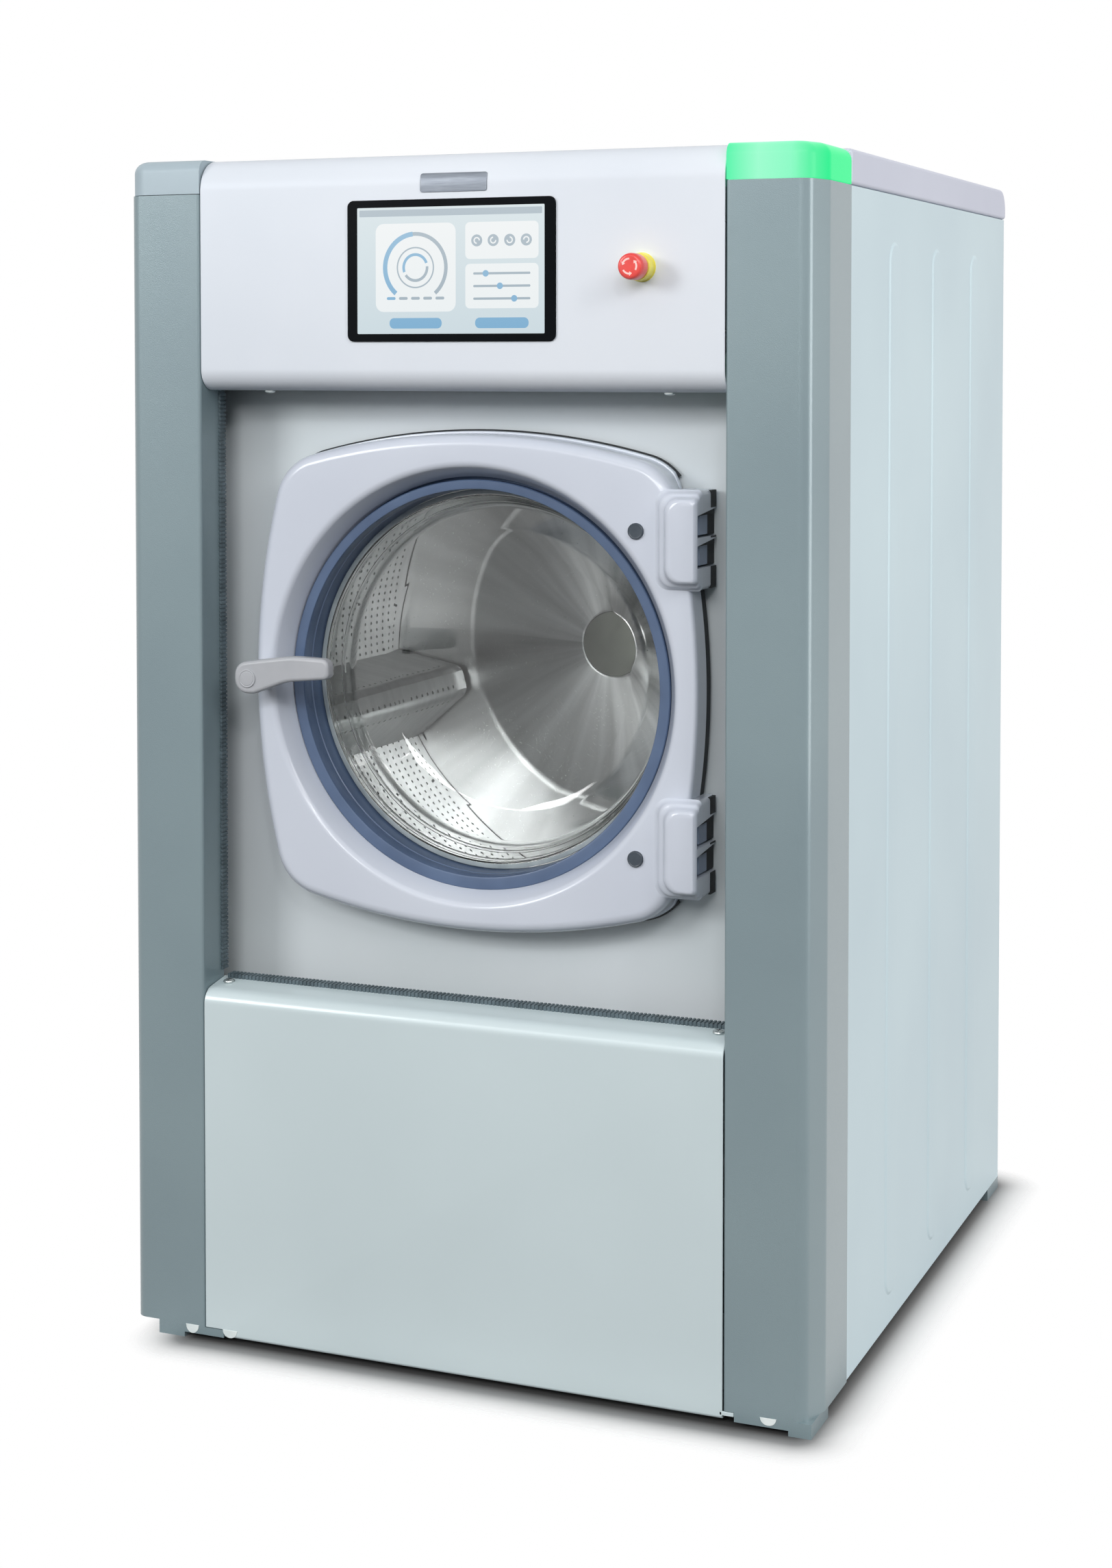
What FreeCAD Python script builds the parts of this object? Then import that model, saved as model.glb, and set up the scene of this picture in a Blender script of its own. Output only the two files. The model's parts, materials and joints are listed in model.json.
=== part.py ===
import FreeCAD, Part
import math
import os
import types

import Sketcher

doc = FreeCAD.newDocument("WasherExtractor")
Vector = FreeCAD.Vector
nodes = []

# Driving dimensions in millimetres and degrees; depths are measured back from the front plane
DIMENSIONS = {
    # cabinet
    "cab_w": 790,
    "cab_d": 845,
    "cab_h": 1292,
    "skin": 2,
    "seam": 0.4,
    "bite": 1,
    "foot_h": 15,
    "foot_x": 325,
    "foot_w": 68,
    "foot_l": 60,
    "shoe_lift": 5.5,
    "shoe_left_in": 276,
    "shoe_left_step": 325,
    "shoe_left_out": 357,
    "shoe_right_in": 311,
    "shoe_right_step": 368,
    "shoe_right_out": 392,
    "base_half": 370,
    "base_front": 52,
    "base_back": 837,
    "rail_w": 62,
    "rail_h": 55,
    "cross_w": 90,
    "base_wall": 5,
    # columns and their caps
    "col_w": 96,
    "col_d": 118,
    "col_r": 14,
    "col_bevel_x": 11,
    "col_bevel_d": 40,
    "col_side_r": 20,
    "col_edge_r": 4,
    "col_skin": 2.5,
    "col_return": 45,
    "cap_h": 37,
    "cap_bevel": 9,
    "cap_wall": 4,
    # side panels, lid and back
    "flange": 28,
    "rib_first": 297,
    "rib_pitch": 190,
    "rib_count": 3,
    "rib_w": 46,
    "rib_low": 47,
    "rib_high": 1203,
    "rib_end_r": 21,
    "rib_rise": 1.6,
    "lid_back_r": 25,
    "lid_edge_r": 5,
    "cover_half": 230,
    "cover_low": 230,
    "cover_high": 900,
    "cover_lap": 14,
    "louvre_w": 260,
    "louvre_h": 7,
    "louvre_low": 300,
    "louvre_pitch": 22,
    "louvre_count": 7,
    # control panel
    "panel_low": 1043,
    "panel_top_r": 34,
    "panel_low_r": 23,
    "panel_under": 68,
    "screen_x": -1,
    "screen_z": 1169,
    "bezel_w": 237,
    "bezel_h": 148,
    "bezel_r": 7,
    "bezel_t": 2.5,
    "screen_w": 213,
    "screen_h": 132,
    "screen_t": 1.8,
    "housing_w": 204,
    "housing_h": 122,
    "housing_d": 28,
    # emergency stop
    "stop_x": 210.5,
    "stop_z": 1169,
    "collar_r": 14,
    "collar_out": 14,
    "stem_r": 7.5,
    "stem_play": 0.05,
    "stem_in": 24,
    "stem_out": 28,
    "head_r": 13.5,
    "head_front": 36,
    "head_back": 18.5,
    "head_bevel": 2.5,
    # lower front panel and trims
    "hem": 18,
    "panel_foot": 6,
    "ledge_front": 387,
    "ledge_back": 394,
    "ledge_d": 46,
    "ledge_r": 17,
    "trim_w": 8,
    "trim_d": 13,
    "trim_grip": 7,
    # suspended unit
    "axis_z": 731,
    "plate_y": 88,
    "plate_t": 3,
    "plate_half": 352,
    "plate_low": 365,
    "plate_r": 18,
    "mouth_r": 222,
    "gasket_in_r": 217,
    "gasket_out_r": 226,
    "gasket_front": 82.5,
    "tub_r": 350,
    "tub_back": 600,
    "tub_t": 3,
    "tub_hub_y": 517,
    # drum
    "drum_r": 327,
    "drum_t": 2,
    "drum_front": 135,
    "drum_back": 560,
    "drum_mouth_r": 229,
    "drum_lip": 12,
    "drum_ring_r": 223,
    "drum_hub_r": 40,
    "drum_hub_y": 475,
    "lifter_half": 56,
    "lifter_top": 17,
    "lifter_r": 241,
    "lifter_round": 15,
    "lifter_front": 152,
    "lifter_back": 550,
    "lifter_angle": 105,
    "lifter_count": 3,
    # bearings and drive
    "shaft_r": 25,
    "shaft_play": 0.05,
    "shaft_end": 742,
    "bearing_r": 45,
    "bearing_w": 25,
    "hub_out_r": 58,
    "hub_back": 672,
    "hub_web_t": 10,
    "hub_web_count": 6,
    "hub_web_r": 296,
    "hub_web_h": 30,
    "pulley_y": 692,
    "pulley_w": 34,
    "pulley_r": 165,
    "pulley_rim": 12,
    "pulley_web": 8,
    "pulley_hub_r": 45,
    "motor_x": 150,
    "motor_z": 300,
    "motor_r": 80,
    "motor_front": 470,
    "motor_back": 660,
    "motor_pulley_r": 34,
    "motor_shaft_r": 12,
    "motor_shaft_in": 55,
    "motor_socket": 60,
    "terminal_w": 45,
    "terminal_h": 60,
    "terminal_d": 80,
    "bracket_half": 70,
    "bracket_inset": 15,
    "bracket_h": 95,
    "belt_t": 6,
    "belt_gap": 0.5,
    "belt_w": 26,
    # suspension
    "susp_x": 335,
    "seat_z": 258,
    "seat_t": 8,
    "seat_half": 32,
    "cradle_x": 318,
    "cradle_t": 8,
    "cradle_front": 122,
    "cradle_back": 592,
    "spring_front": 172,
    "spring_back": 542,
    "spring_r": 26,
    "spring_wall": 9,
    "damper_y": 357,
    "damper_r": 16,
    "damper_bore": 10,
    "damper_top": 185,
    "rod_r": 8,
    "rod_low": 100,
    "weight_front": 130,
    "weight_d": 85,
    "weight_low": 270,
    "weight_h": 82,
    # water and power connections
    "drain_y": 322,
    "drain_r": 38,
    "drain_wall": 3,
    "drain_valve_r": 46,
    "drain_valve_z": 300,
    "valve_bite": 4,
    "sleeve_low": 176,
    "sleeve_high": 246,
    "rear_reach": 36,
    "rear_flange": 4,
    "drain_flange_r": 46,
    "inlet_nut_r": 17,
    "inlet_r": 13.2,
    "inlet_bore": 9,
    "inlet_z": 1150,
    "inlet_x": -250,
    "inlet_pitch": 75,
    "inlet_count": 3,
    "valve_w": 46,
    "valve_d": 70,
    "valve_lap": 10,
    "gland_x": 60,
    "gland_r": 12.5,
    "gland_nut": 17,
    "gland_out": 22,
    "box_x": 30,
    "box_w": 310,
    "box_d": 250,
    "box_low": 1112,
    "box_high": 1245,
    "box_lip": 12,
    "box_post": 18,
    # door
    "door_z": 733,
    "door_front": 39,
    "door_back": 82,
    "door_half_w": 259,
    "door_half_h": 267,
    "door_side_r": 800,
    "door_top_r": 750,
    "door_corner_r": 62,
    "door_bevel": 11,
    "lip_r": 229,
    "lip_bevel": 3,
    "cone_r": 221,
    "cone_y": 62,
    "tube_r": 207,
    "tube_t": 3.5,
    "tube_back": 110,
    "bowl_front": 102,
    "bowl_knee": 146,
    "bowl_knee_r": 192,
    "bowl_end": 172,
    "bowl_end_r": 150,
    "bowl_t": 6,
    "plug_x": 190,
    "plug_r": 8.5,
    "plug_t": 2.5,
    "plug_high": 900,
    "plug_low": 561,
    # hinges
    "hinge_x": 246,
    "hinge_y": 45,
    "pin_r": 6,
    "pin_play": 0.05,
    "boss_left": 212,
    "boss_right": 262,
    "boss_half": 50,
    "boss_front": 18,
    "boss_flat_left": 231,
    "boss_flat_half": 40,
    "boss_r": 10,
    "boss_bevel": 4,
    "boss_wall": 6,
    "boss_high": 892,
    "boss_low": 575,
    "lug_h": 20,
    "lug_rise": 15.5,
    "lug_left": 10,
    "lug_right": 12,
    "lug_bevel": 7,
    "lug_play": 1.2,
    # handle and latch
    "handle_x": -243,
    "handle_z": 732,
    "lever_t": 16,
    "lever_r": 16.5,
    "lever_bevel": 3.5,
    "lever_heel_x": 7,
    "lever_heel_r": 13,
    "lever_waist_x": 46,
    "lever_waist_z": -2,
    "lever_waist_r": 70,
    "lever_tip_x": 97.5,
    "lever_tip_low": 3,
    "lever_tip_low_r": 7,
    "lever_tip_high": 24.5,
    "lever_tip_high_r": 9,
    "lever_back_x": 52,
    "lever_back_z": 26,
    "lever_back_r": 120,
    "lever_neck_x": 2,
    "lever_neck_z": 19,
    "lever_neck_r": 60,
    "lever_hub_r": 13,
    "cap_disc_r": 10,
    "cap_disc_t": 1.5,
    "latch_r": 8,
    "latch_play": 0.05,
    "latch_cam_r": 13,
    "latch_cam_x": 4,
    "latch_back": 106,
    "lock_hole_r": 20,
    "lock_back": 128,
    "lock_half_h": 38,
    "lock_left": -285,
    "lock_right": -223,
}

sheet = doc.addObject("Spreadsheet::Sheet", "Dimensions")
for row, (alias, number) in enumerate(DIMENSIONS.items(), start=1):
    sheet.set(f"A{row}", alias)
    sheet.set(f"B{row}", str(number))
    sheet.setAlias(f"B{row}", alias)
doc.recompute()


class Size:
    """A number from the sheet, together with the formula that gives it."""

    def __init__(self, value, formula):
        self.value = float(value)
        self.formula = formula

    def __add__(self, other):
        other = as_size(other)
        return Size(self.value + other.value, f"({self.formula} + {other.formula})")

    def __sub__(self, other):
        other = as_size(other)
        return Size(self.value - other.value, f"({self.formula} - {other.formula})")

    def __mul__(self, other):
        other = as_size(other)
        return Size(self.value * other.value, f"({self.formula} * {other.formula})")

    def __truediv__(self, other):
        other = as_size(other)
        return Size(self.value / other.value, f"({self.formula} / {other.formula})")

    def __radd__(self, other):
        return as_size(other) + self

    def __rsub__(self, other):
        return as_size(other) - self

    def __rmul__(self, other):
        return as_size(other) * self

    def __neg__(self):
        return Size(-self.value, f"(-{self.formula})")


def as_size(thing):
    """A plain number as a Size."""
    return thing if isinstance(thing, Size) else Size(thing, f"({float(thing)})")


dim = types.SimpleNamespace(
    **{alias: Size(sheet.get(alias), f"Dimensions.{alias}") for alias in DIMENSIONS}
)
half_w = dim.cab_w / 2
front = -dim.cab_d / 2
back = dim.cab_d / 2
mid_half = half_w - dim.col_w
cap_low = dim.cab_h - dim.cap_h
rail_top = dim.foot_h + dim.rail_h


def deep(size):
    """The y of a depth measured back from the front plane."""
    return front + size


def bind(thing, path, size):
    """Tie one property to the sheet."""
    thing.setExpression(path, as_size(size).formula)


def keep(thing):
    """Note a finished sub-part."""
    nodes.append(thing)
    return thing


# Sketching


def fix_point(sketch, geometry, spot, x, y):
    """Hold a sketch point at x, y from the sketch origin."""
    for kind, size in (("DistanceX", x), ("DistanceY", y)):
        index = sketch.addConstraint(Sketcher.Constraint(kind, -1, 1, geometry, spot, size.value))
        bind(sketch, f"Constraints[{index}]", size)


def fix_radius(sketch, geometry, radius):
    """Hold the radius of an arc or circle."""
    index = sketch.addConstraint(Sketcher.Constraint("Radius", geometry, radius.value))
    bind(sketch, f"Constraints[{index}]", radius)


def circle(x, y, radius):
    """A full circle."""

    def draw(sketch):
        x_size, y_size, r_size = as_size(x), as_size(y), as_size(radius)
        centre = Vector(x_size.value, y_size.value, 0)
        geometry = sketch.addGeometry(Part.Circle(centre, Vector(0, 0, 1), r_size.value))
        fix_radius(sketch, geometry, r_size)
        fix_point(sketch, geometry, 3, x_size, y_size)

    return draw


def round_corner(sketch, before, after, corner, arrive, leave, centre, turns_left):
    """Join two lines by a tangent arc about a corner that keeps its place."""
    x, y, radius = corner
    axis = Vector(0, 0, 1)
    first, last = (arrive, leave) if turns_left else (leave, arrive)
    start_angle = math.atan2(first.y - centre.y, first.x - centre.x)
    end_angle = math.atan2(last.y - centre.y, last.x - centre.x)
    ring = Part.Circle(centre, axis, radius.value)
    arc = sketch.addGeometry(Part.ArcOfCircle(ring, start_angle, end_angle))
    arc_in, arc_out = (1, 2) if turns_left else (2, 1)
    sketch.addConstraint(Sketcher.Constraint("Tangent", before, 2, arc, arc_in))
    sketch.addConstraint(Sketcher.Constraint("Tangent", arc, arc_out, after, 1))
    point = sketch.addGeometry(Part.Point(Vector(x.value, y.value, 0)), True)
    sketch.addConstraint(Sketcher.Constraint("PointOnObject", point, 1, before))
    sketch.addConstraint(Sketcher.Constraint("PointOnObject", point, 1, after))
    fix_radius(sketch, arc, radius)
    fix_point(sketch, point, 1, x, y)


def poly(*corners):
    """A closed outline through corners (x, y) or (x, y, radius)."""

    def draw(sketch):
        sizes = [tuple(as_size(part) for part in corner) for corner in corners]
        spots = [Vector(corner[0].value, corner[1].value, 0) for corner in sizes]
        count = len(spots)
        arrive, leave, centre, left = [], [], [], []
        for i, spot in enumerate(spots):
            to_last = (spots[i - 1] - spot).normalize()
            to_next = (spots[(i + 1) % count] - spot).normalize()
            radius = sizes[i][2].value if len(sizes[i]) == 3 else 0
            half = to_last.getAngle(to_next) / 2
            arrive.append(spot + to_last * (radius / math.tan(half)))
            leave.append(spot + to_next * (radius / math.tan(half)))
            centre.append(spot + (to_last + to_next).normalize() * (radius / math.sin(half)))
            left.append(to_last.cross(to_next).z < 0)
        lines = [
            sketch.addGeometry(Part.LineSegment(leave[i], arrive[(i + 1) % count]))
            for i in range(count)
        ]
        for i, corner in enumerate(sizes):
            before, after = lines[i - 1], lines[i]
            if len(corner) == 3:
                round_corner(sketch, before, after, corner, arrive[i], leave[i], centre[i], left[i])
            else:
                sketch.addConstraint(Sketcher.Constraint("Coincident", before, 2, after, 1))
                fix_point(sketch, after, 1, *corner)

    return draw


def rect(x_low, x_high, y_low, y_high, radius=None):
    """A rectangle, with rounded corners where a radius is given."""
    corners = [(x_low, y_low), (x_high, y_low), (x_high, y_high), (x_low, y_high)]
    if radius is not None:
        corners = [corner + (radius,) for corner in corners]
    return poly(*corners)


def centred(x, y, width, height, radius=None):
    """A rectangle about a centre."""
    return rect(x - width / 2, x + width / 2, y - height / 2, y + height / 2, radius)


# Solid features


def new_body(label):
    """An empty body that becomes one node."""
    body = doc.addObject("PartDesign::Body", label)
    body.Label = label
    body.AllowCompound = True
    return keep(body)


def new_sketch(body, plane, loops, shift=0, rise=0, turn=0):
    """A sketch of closed loops on an origin plane, shifted along its normal."""
    sketch = body.newObject("Sketcher::SketchObject", body.Label + "_sketch")
    support = next(f for f in body.Origin.OriginFeatures if f.Role == plane + "_Plane")
    sketch.AttachmentSupport = [(support, "")]
    sketch.MapMode = "FlatFace"
    rotation = FreeCAD.Rotation(Vector(0, 0, 1), as_size(turn).value)
    sketch.AttachmentOffset = FreeCAD.Placement(Vector(), rotation)
    bind(sketch, "AttachmentOffset.Base.z", shift)
    bind(sketch, "AttachmentOffset.Base.y", rise)
    for loop in loops:
        loop(sketch)
    return sketch


def pad(body, plane, loops, low, high, rise=0, turn=0):
    """Add the loops as a prism between two levels along the plane's axis."""
    shift = -high if plane == "XZ" else low
    feature = body.newObject("PartDesign::Pad", body.Label + "_pad")
    feature.Profile = new_sketch(body, plane, loops, shift, rise, turn)
    bind(feature, "Length", high - low)
    body.Tip = feature
    return feature


def pocket(body, plane, loops, low, high, rise=0, turn=0):
    """Cut the loops between two levels, and make sure that something was cut."""
    doc.recompute()
    volume = body.Shape.Volume
    shift = -low if plane == "XZ" else high
    feature = body.newObject("PartDesign::Pocket", body.Label + "_pocket")
    feature.Profile = new_sketch(body, plane, loops, shift, rise, turn)
    bind(feature, "Length", high - low)
    body.Tip = feature
    doc.recompute()
    if body.Shape.Volume > volume - 1:
        raise RuntimeError(body.Label + ": a pocket cut nothing")
    return feature


def revolve(body, loops, x=0, z=0, kind="Revolution"):
    """Turn loops of (y, radius) about an axis along y through x and z."""
    sketch = new_sketch(body, "YZ", loops, x, z)
    feature = body.newObject("PartDesign::" + kind, body.Label + "_turn")
    feature.Profile = sketch
    feature.ReferenceAxis = (sketch, ["H_Axis"])
    feature.Angle = 360
    body.Tip = feature
    return feature


def bevel(body, size, pick):
    """Bevel the edges that pick chooses."""
    return soften(body, size, pick, "Chamfer", "Size")


def soften(body, radius, pick, kind="Fillet", size="Radius"):
    """Round, or bevel, the edges that pick chooses."""
    doc.recompute()
    base = body.Tip
    names = [f"Edge{i}" for i, edge in enumerate(base.Shape.Edges, start=1) if pick(edge)]
    feature = body.newObject("PartDesign::" + kind, body.Label + "_edge")
    feature.Base = (base, names)
    bind(feature, size, radius)
    body.Tip = feature
    return feature


def repeat(body, features, kind, axis_name, axis, count, span):
    """Repeat features along or about an axis."""
    pattern = body.newObject("PartDesign::" + kind, body.Label + "_pattern")
    pattern.Originals = features
    setattr(pattern, axis_name, axis)
    bind(pattern, "Length" if kind == "LinearPattern" else "Angle", span)
    bind(pattern, "Occurrences", count)
    body.Tip = pattern
    return pattern


def near(value, target, reach=0.05):
    """Whether a coordinate lies at a size."""
    return abs(value - as_size(target).value) < reach


def box(label, x, y, z):
    """A block from low and high pairs."""
    block = doc.addObject("Part::Box", label)
    for side, letter, (low, high) in zip(("Length", "Width", "Height"), "xyz", (x, y, z)):
        bind(block, side, high - low)
        bind(block, "Placement.Base." + letter, low)
    return block


TILT = {"Z": FreeCAD.Rotation(), "Y": FreeCAD.Rotation(Vector(1, 0, 0), -90)}


def place(thing, start, axis):
    """Stand a primitive at a start point along z or y."""
    thing.Placement = FreeCAD.Placement(Vector(), TILT[axis])
    for letter, size in zip("xyz", start):
        bind(thing, "Placement.Base." + letter, size)
    return thing


def rod(label, radius, start, length, axis="Z"):
    """A round bar from a start point along z or y."""
    bar = doc.addObject("Part::Cylinder", label)
    bind(bar, "Radius", radius)
    bind(bar, "Height", length)
    return place(bar, start, axis)


def hexagon(label, radius, start, length, axis="Z"):
    """A six-sided bar from a start point along z or y."""
    bar = doc.addObject("Part::Prism", label)
    bar.Polygon = 6
    bind(bar, "Circumradius", radius)
    bind(bar, "Height", length)
    return place(bar, start, axis)


def cut(label, base, tool):
    """One solid less another."""
    result = doc.addObject("Part::Cut", label)
    result.Base = base
    result.Tool = tool
    return result


def fuse(label, parts):
    """Several solids as one."""
    result = doc.addObject("Part::MultiFuse", label)
    result.Shapes = parts
    return result


def group(label, parts):
    """Several separate solids in one node."""
    result = doc.addObject("Part::Compound", label)
    result.Links = parts
    return result


def both_sides(make):
    """Call make with the left sign and the right sign."""
    return [make(side) for side in (-1, 1)]


# Cabinet


def foot_plates():
    body = new_body("foot_plates")
    x_low, x_high = dim.foot_x, dim.foot_x + dim.foot_w
    y_low = back - dim.seam - dim.foot_l
    rear = [rect(x_low, x_high, y_low, back - dim.seam), rect(-x_high, -x_low, y_low, back - dim.seam)]
    pad(body, "XY", rear, as_size(0), dim.foot_h)

    z_tongue = dim.foot_h - dim.bite
    left_shoe = poly(
        (-dim.shoe_left_in, z_tongue),
        (-dim.shoe_left_in, dim.shoe_lift),
        (-dim.shoe_left_step, dim.shoe_lift),
        (-dim.shoe_left_step, 0),
        (-dim.shoe_left_out, 0),
        (-dim.shoe_left_out, dim.foot_h),
        (-mid_half, dim.foot_h),
        (-mid_half, z_tongue),
    )
    right_shoe = poly(
        (dim.shoe_right_in, dim.foot_h),
        (dim.shoe_right_in, dim.shoe_lift),
        (dim.shoe_right_step, dim.shoe_lift),
        (dim.shoe_right_step, 0),
        (dim.shoe_right_out, 0),
        (dim.shoe_right_out, dim.foot_h),
    )
    pad(body, "XZ", [left_shoe, right_shoe], front, front + dim.foot_l)


def base_frame():
    body = new_body("base_frame")
    x_out, x_in = dim.base_half, dim.base_half - dim.rail_w
    y_low, y_high = deep(dim.base_front), deep(dim.base_back)
    y_cross = dim.cross_w / 2

    def frame(wall):
        x_side, x_window = x_out - wall, x_in + wall
        return [
            rect(-x_side, x_side, y_low + wall, y_high - wall),
            rect(-x_window, x_window, y_low + dim.rail_w - wall, -y_cross + wall),
            rect(-x_window, x_window, y_cross - wall, y_high - dim.rail_w + wall),
        ]

    pad(body, "XY", frame(as_size(0)), dim.foot_h, rail_top)
    pocket(body, "XY", frame(dim.base_wall), dim.foot_h, rail_top - dim.base_wall)


def column(label, side):
    body = new_body(label)
    inner, outer = side * mid_half, side * half_w
    skin = side * dim.col_skin
    x_bevel, y_bevel = outer - side * dim.col_bevel_x, deep(dim.col_bevel_d)
    y_end, y_side = deep(dim.col_return), deep(dim.col_d - dim.seam)
    y_in = front + dim.col_skin
    outline = poly(
        (inner, y_end),
        (inner, front, dim.col_edge_r),
        (x_bevel, front, dim.col_r),
        (outer, y_bevel, dim.col_side_r),
        (outer, y_side),
        (outer - skin, y_side),
        (outer - skin, y_bevel),
        (x_bevel - skin, y_in, dim.col_r - dim.col_skin),
        (inner + skin, y_in, dim.col_edge_r - dim.col_skin),
        (inner + skin, y_end),
    )
    pad(body, "XY", [outline], dim.foot_h, cap_low)


def column_cap(label, side):
    body = new_body(label)
    inner, outer = side * mid_half, side * half_w
    x_bevel, y_bevel = outer - side * dim.col_bevel_x, deep(dim.col_bevel_d)
    y_side = deep(dim.col_d - dim.seam)
    outline = poly(
        (inner, front),
        (x_bevel, front, dim.col_r),
        (outer, y_bevel, dim.col_side_r),
        (outer, y_side),
        (inner, y_side),
    )
    pad(body, "XY", [outline], cap_low, dim.cab_h)

    def on_show(edge):
        middle = edge.CenterOfMass
        outside = middle.y < y_bevel.value or abs(middle.x) > half_w.value - 1
        return near(edge.BoundBox.ZMin, dim.cab_h) and outside and abs(middle.x) > mid_half.value + 1

    bevel(body, dim.cap_bevel, on_show)
    wall = side * dim.cap_wall
    hollow = poly(
        (inner + wall, front + dim.cap_wall),
        (x_bevel - wall, front + dim.cap_wall, dim.col_r - dim.cap_wall),
        (outer - wall, y_bevel),
        (outer - wall, y_side - dim.cap_wall),
        (inner + wall, y_side - dim.cap_wall),
    )
    pocket(body, "XY", [hollow], cap_low, dim.cab_h - dim.cap_bevel - dim.cap_wall)


def side_panel(label, side):
    body = new_body(label)
    outer = side * (half_w - dim.rib_rise)
    skin = side * dim.skin
    lip = side * (half_w - dim.flange)
    y_low = deep(dim.col_d)
    outline = poly(
        (outer, y_low),
        (outer, back, dim.col_edge_r),
        (lip, back),
        (lip, back - dim.skin),
        (outer - skin, back - dim.skin, dim.col_edge_r - dim.skin),
        (outer - skin, y_low),
    )
    pad(body, "XY", [outline], dim.foot_h, cap_low)
    y_rib = deep(dim.rib_first)
    rib = rect(y_rib - dim.rib_w / 2, y_rib + dim.rib_w / 2, dim.rib_low, dim.rib_high, dim.rib_end_r)
    x_low, x_high = on_side(side, half_w - dim.rib_rise, half_w)
    first = pad(body, "YZ", [rib], x_low, x_high)
    axis = (first.Profile[0], ["H_Axis"])
    span = dim.rib_pitch * (dim.rib_count - 1)
    repeat(body, [first], "LinearPattern", "Direction", axis, dim.rib_count, span)


def top_lid():
    body = new_body("top_lid")
    y_low = deep(dim.col_d)
    pad(body, "XY", [rect(-half_w, half_w, y_low, back)], cap_low, dim.cab_h)

    def top_edge(edge):
        return near(edge.BoundBox.ZMin, dim.cab_h)

    soften(body, dim.lid_back_r, lambda e: top_edge(e) and near(e.BoundBox.YMin, back))
    bevel(body, dim.lid_edge_r, lambda e: top_edge(e) and abs(e.CenterOfMass.x) > half_w.value - 1)
    wall = dim.skin
    hollow = rect(-half_w + wall, half_w - wall, y_low + wall, back - wall)
    pocket(body, "XY", [hollow], cap_low, dim.cab_h - dim.lid_back_r)
    crown = rect(-half_w + dim.lid_edge_r, half_w - dim.lid_edge_r, y_low + wall, back - dim.lid_back_r)
    pocket(body, "XY", [crown], cap_low, dim.cab_h - wall)


def inlet_places():
    """The x of each water inlet."""
    count = int(dim.inlet_count.value)
    return [dim.inlet_x + dim.inlet_pitch * i for i in range(count)]


def back_panel():
    body = new_body("back_panel")
    x_half = half_w - dim.flange - dim.seam
    plate = rect(-x_half, x_half, dim.foot_h, cap_low)
    lap = dim.cover_lap
    service = rect(-dim.cover_half + lap, dim.cover_half - lap, dim.cover_low + lap, dim.cover_high - lap)
    holes = [circle(x, dim.inlet_z, dim.inlet_r + dim.seam) for x in inlet_places()]
    holes.append(circle(0, rail_top + dim.drain_r, dim.drain_r + dim.seam))
    holes.append(circle(dim.gland_x, dim.inlet_z, dim.gland_r + dim.seam))
    pad(body, "XZ", [plate, service] + holes, back - dim.skin, back)


def service_cover():
    body = new_body("service_cover")
    plate = rect(-dim.cover_half, dim.cover_half, dim.cover_low, dim.cover_high)
    pad(body, "XZ", [plate], back, back + dim.skin)
    slot = rect(-dim.louvre_w / 2, dim.louvre_w / 2, dim.louvre_low, dim.louvre_low + dim.louvre_h)
    first = pocket(body, "XZ", [slot], back, back + dim.skin)
    axis = (first.Profile[0], ["V_Axis"])
    span = dim.louvre_pitch * (dim.louvre_count - 1)
    repeat(body, [first], "LinearPattern", "Direction", axis, dim.louvre_count, span)


def control_panel():
    body = new_body("control_panel")
    x_half = mid_half
    y_top, y_under = deep(dim.col_d - dim.seam), deep(dim.panel_under)
    z_top = dim.cab_h - dim.seam
    y_in = front + dim.skin
    outline = poly(
        (y_top, z_top),
        (front, z_top, dim.panel_top_r),
        (front, dim.panel_low, dim.panel_low_r),
        (y_under, dim.panel_low),
        (y_under, dim.panel_low + dim.skin),
        (y_in, dim.panel_low + dim.skin, dim.panel_low_r - dim.skin),
        (y_in, z_top - dim.skin, dim.panel_top_r - dim.skin),
        (y_top, z_top - dim.skin),
    )
    pad(body, "YZ", [outline], -x_half, x_half)
    play = 2 * dim.seam
    holes = [
        centred(dim.screen_x, dim.screen_z, dim.housing_w + play, dim.housing_h + play),
        circle(dim.stop_x, dim.stop_z, dim.stem_r + dim.seam),
    ]
    pocket(body, "XZ", holes, front, front + dim.skin)


def touchscreen():
    body = new_body("touchscreen_bezel")
    x, z = dim.screen_x, dim.screen_z
    frame = centred(x, z, dim.bezel_w, dim.bezel_h, dim.bezel_r)
    pad(body, "XZ", [frame], front - dim.bezel_t, front)
    housing = centred(x, z, dim.housing_w, dim.housing_h)
    pad(body, "XZ", [housing], front, front + dim.housing_d)
    play = dim.seam / 2
    seat = centred(x, z, dim.screen_w + play, dim.screen_h + play)
    face = front - dim.bezel_t
    pocket(body, "XZ", [seat], face, face + dim.screen_t + play)
    y_low = face + play
    keep(
        box(
            "touchscreen_display",
            (x - dim.screen_w / 2, x + dim.screen_w / 2),
            (y_low, y_low + dim.screen_t),
            (z - dim.screen_h / 2, z + dim.screen_h / 2),
        )
    )


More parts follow.
